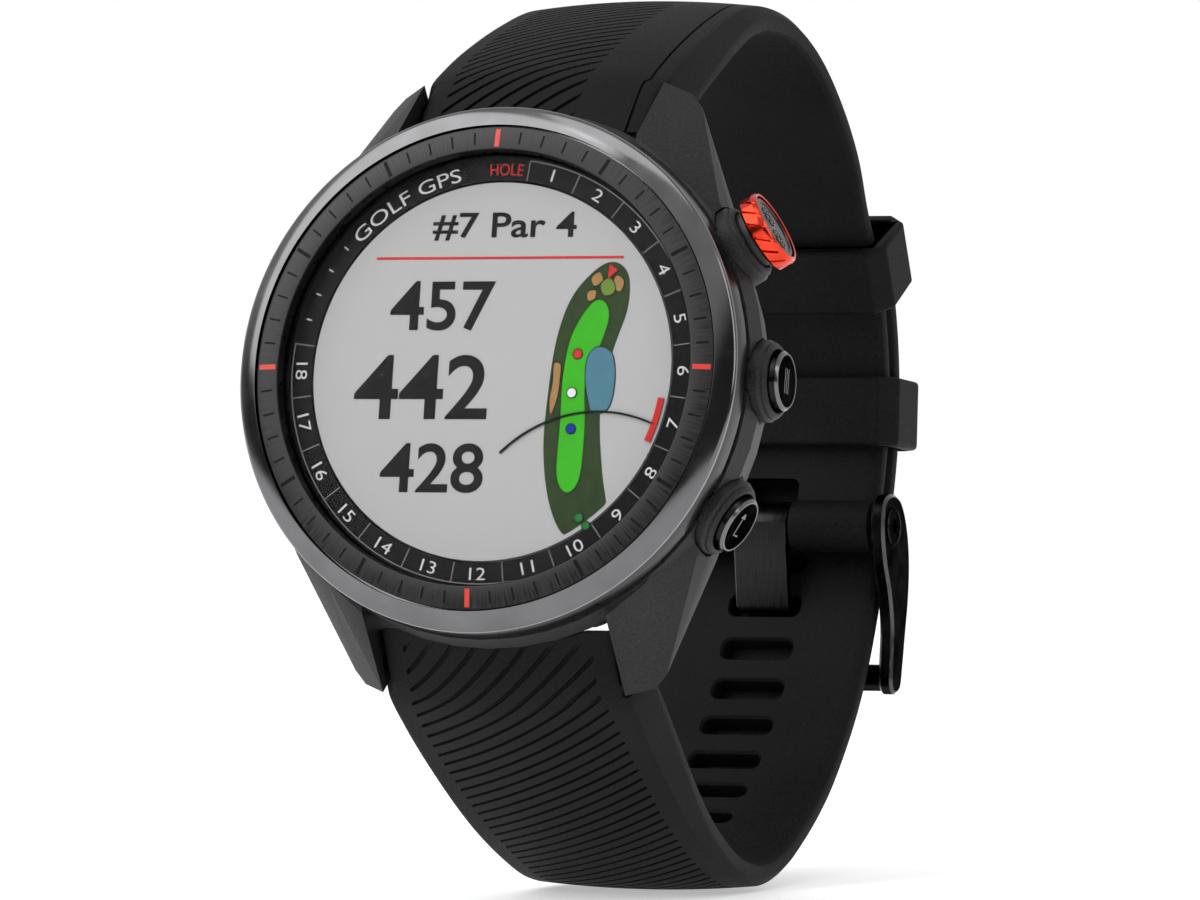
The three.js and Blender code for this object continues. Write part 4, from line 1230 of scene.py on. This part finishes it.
def build_buckle_screw(name, side):
    """Screw head with a six-lobed recess and a rounded rim."""
    steps = 72
    angles = [2 * math.pi * i / steps for i in range(steps)]

    def lobed(a):
        return 0.62 + 0.2 * math.cos(6 * a)

    levels = [
        (1.85, 12.4), (1.85, 12.85), (1.75, 12.97), (1.5, 13.0), (1.45, 12.93), (None, 12.93), (None, 12.6),
    ]
    vertices = []
    for radius, height in levels:
        for a in angles:
            r = radius or lobed(a)
            vertices.append((side * height, r * math.cos(a), r * math.sin(a)))
    faces = [tuple(range(steps)), tuple(reversed(range(6 * steps, 7 * steps)))]
    faces += side_faces(len(levels), steps)
    place = BAND @ Matrix.Translation((0, *BUCKLE_PIN))
    screw = mesh_object(f"{name}_head", vertices, faces, place, DARK_METAL)
    add_piece(screw, "buckle", "dark_metal", name)


TONGUE_OUTLINE = [
    (70.95, -14.6), (70.95, -17.0), (71.7, -22.6), (72.0, -23.0), (73.3, -23.35), (73.62, -22.6),
    (72.42, -21.9), (72.0, -17.2), (72.6, -15.6), (72.6, -14.6),
]


def build_tongue():
    plate = plate_with_edges("tongue_plate", TONGUE_OUTLINE, -TONGUE_HALF, TONGUE_HALF, TONGUE_CHAMFER,
                             SIDE_VIEW, TONGUE_METAL, EDGE_METAL)
    sleeve = rod("sleeve", SLEEVE_R, -TONGUE_HALF, TONGUE_HALF, BUCKLE_PIN, TONGUE_METAL, segments=64)
    apply_boolean(plate, sleeve, "UNION")
    tongue = apply_boolean(plate, rod("bore", PIN_BORE_R, -14, 14, BUCKLE_PIN), "DIFFERENCE")
    add_piece(tongue, "tongue", "dark_metal", "buckle_tongue")


# ---- back of the case -----------------------------------------------------------------------

def build_sensor_lights():
    """Small lenses of the pulse sensor, set in the black window."""
    depth = -CASE_BACK_DEPTH
    places = [circle((x, y), 0.75) for x, y in ((-1.5, 0), (1.5, 0), (0, 1.6), (0, -1.6))]
    lights = extrude("sensor_lights", places, depth + 0.01, depth + 0.05, DIAL, LED_GREEN)
    add_piece(lights, "watch", "window")


# ---- which CAD nodes stay as they are, with what material -----------------------------------

KEPT_NODES = {
    BLACK_PLASTIC: ["display_bracket", "gps_antenna"],
    DARK_METAL: ["upper_strap_pin", "lower_strap_pin", "buckle_pin"],
    SEAL: ["bezel_seal", "back_cover_seal", *(f"{side}_button_seal" for side in BUTTON_ANGLES)],
    GOLD: [f"charge_contact_{number}" for number in (1, 2, 3, 4)],
    BOARD: ["main_board", "sensor_board"],
    FOIL: ["battery"],
    STEEL: ["vibration_motor", *(f"back_screw_{number}" for number in (1, 2, 3, 4)),
            *(f"{side}_button_stem" for side in BUTTON_ANGLES),
            *(f"{side}_switch" for side in BUTTON_ANGLES)],
}


def paint_kept_nodes():
    for material, nodes in KEPT_NODES.items():
        for node in nodes:
            for slot in frame["nodes"][node].material_slots:
                slot.material = material


def build_refined_pieces():
    refined("case_shell", "case_body", POLYMER, 0.14, 2, 24)
    refined("cover_plate", "back_cover", COVER_STEEL, 0.12)
    refined("window_dome", "sensor_window", WINDOW, 0.15)
    refined("port_insert", "charge_port", BLACK_PLASTIC, 0.05)
    for side in ("upper", "lower"):
        refined(f"{side}_strap_loop", f"{side}_keeper", SILICONE, 0.5, 4)
        refined(f"{side}_release_slider", f"{side}_latch", BLACK_PLASTIC, 0.12)


# ---- camera, floor and light ----------------------------------------------------------------

CAMERA_AZIMUTH = 21.05
CAMERA_ELEVATION = 0.44
CAMERA_PLACE = Vector((0.26104, -0.69063, 0.00512))
CAMERA_LENS = 241.73
FLOOR_GLOW = 0.42
ROOM_BRIGHT = 0.75
ROOM_DARK = 0.07


def build_camera():
    camera = placed("camera", bpy.data.cameras.new("camera"))
    camera.data.lens = CAMERA_LENS
    camera.data.sensor_width = 36
    camera.location = CAMERA_PLACE
    camera.rotation_euler = (math.radians(90 - CAMERA_ELEVATION), 0, math.radians(CAMERA_AZIMUTH))
    bpy.context.scene.camera = camera


def build_floor():
    """Pale table, faintly lit from within like a light table, so that it meets the white wall."""
    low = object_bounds()[0].z
    size = 3.0
    corners = [(-size, -size, low), (size, -size, low), (size, size, low), (-size, size, low)]
    material, tree, shader = principled("pale_floor", 0.6)
    cloud = noise(tree, local_coordinates(tree), 0.004, 2.0)
    tree.links.new(tones(tree, cloud, grey(0.8), grey(0.84)), shader.inputs["Base Color"])
    shader.inputs["Emission Color"].default_value = (1, 1, 1, 1)
    shader.inputs["Emission Strength"].default_value = FLOOR_GLOW
    floor = mesh_object("floor", corners, [(0, 1, 2, 3)], Matrix.Identity(4), material)


def add_area(name, place, size, radiance):
    """Soft box that faces the watch; radiance is its brightness, so its power follows from its size."""
    light = bpy.data.lights.new(name, "AREA")
    light.shape = "RECTANGLE"
    light.size, light.size_y = size
    light.energy = radiance * math.pi * size[0] * size[1]
    lamp = placed(name, light)
    lamp.location = place
    lamp.rotation_euler = (-Vector(place)).to_track_quat("-Z", "Y").to_euler()


def weighted(tree, sockets, weights):
    """Sum of sockets times their weights."""
    total = 0
    for socket, weight in zip(sockets, weights):
        total = arithmetic(tree, "MULTIPLY_ADD", socket, weight, total)
    return total


def build_world():
    """White room with a dark band at camera height on the camera's side, lower on the right."""
    world = bpy.data.worlds.new("studio")
    bpy.context.scene.world = world
    world.use_nodes = True
    tree = world.node_tree
    background = tree.nodes["Background"]
    parts = add_node(tree, "ShaderNodeSeparateXYZ")
    tree.links.new(add_node(tree, "ShaderNodeTexCoord").outputs["Generated"], parts.inputs["Vector"])
    x, y, z = (parts.outputs[name] for name in "XYZ")
    to_right = arithmetic(tree, "MAXIMUM", x, 0)
    above = spread(tree, weighted(tree, (z, to_right), (1, -0.45)), 1, 0, (0.2, 0.36))
    below = spread(tree, weighted(tree, (z, x), (1, 0.3)), 0, 1, (-0.38, -0.24))
    front = spread(tree, y, 1, 0, (-0.3, 0.1))
    dark = arithmetic(tree, "MULTIPLY", arithmetic(tree, "MULTIPLY", above, below), front)
    level = spread(tree, dark, ROOM_BRIGHT, ROOM_DARK, (0, 1))
    camera_ray = add_node(tree, "ShaderNodeLightPath").outputs["Is Camera Ray"]
    tree.links.new(arithmetic(tree, "MAXIMUM", level, camera_ray), background.inputs["Strength"])
    background.inputs["Color"].default_value = (1, 1, 1, 1)


def build_lights():
    build_world()
    add_area("softbox_left", (-0.48, -0.48, 0.55), (0.8, 0.8), 2.5)
    add_area("softbox_top", (0.08, -0.28, 0.75), (0.5, 0.3), 2.0)
    add_area("softbox_right", (0.65, -0.3, 0.35), (0.2, 0.5), 2.5)
    bpy.context.scene.view_settings.view_transform = "Standard"


# ---- build ----------------------------------------------------------------------------------

build_camera()
build_bezel()
build_tick_ring()
build_lens()
build_hole_ring()
build_screen()
for button in BUTTON_ANGLES:
    build_guard(button)
build_red_ring()
build_upper_cap()
build_round_cap("middle")
build_round_cap("lower")
build_hole_strap()
build_buckle_strap()
build_buckle()
build_buckle_screw("right_buckle_screw", 1)
build_buckle_screw("left_buckle_screw", -1)
build_tongue()
build_refined_pieces()
build_sensor_lights()
paint_kept_nodes()
build_floor()
build_lights()
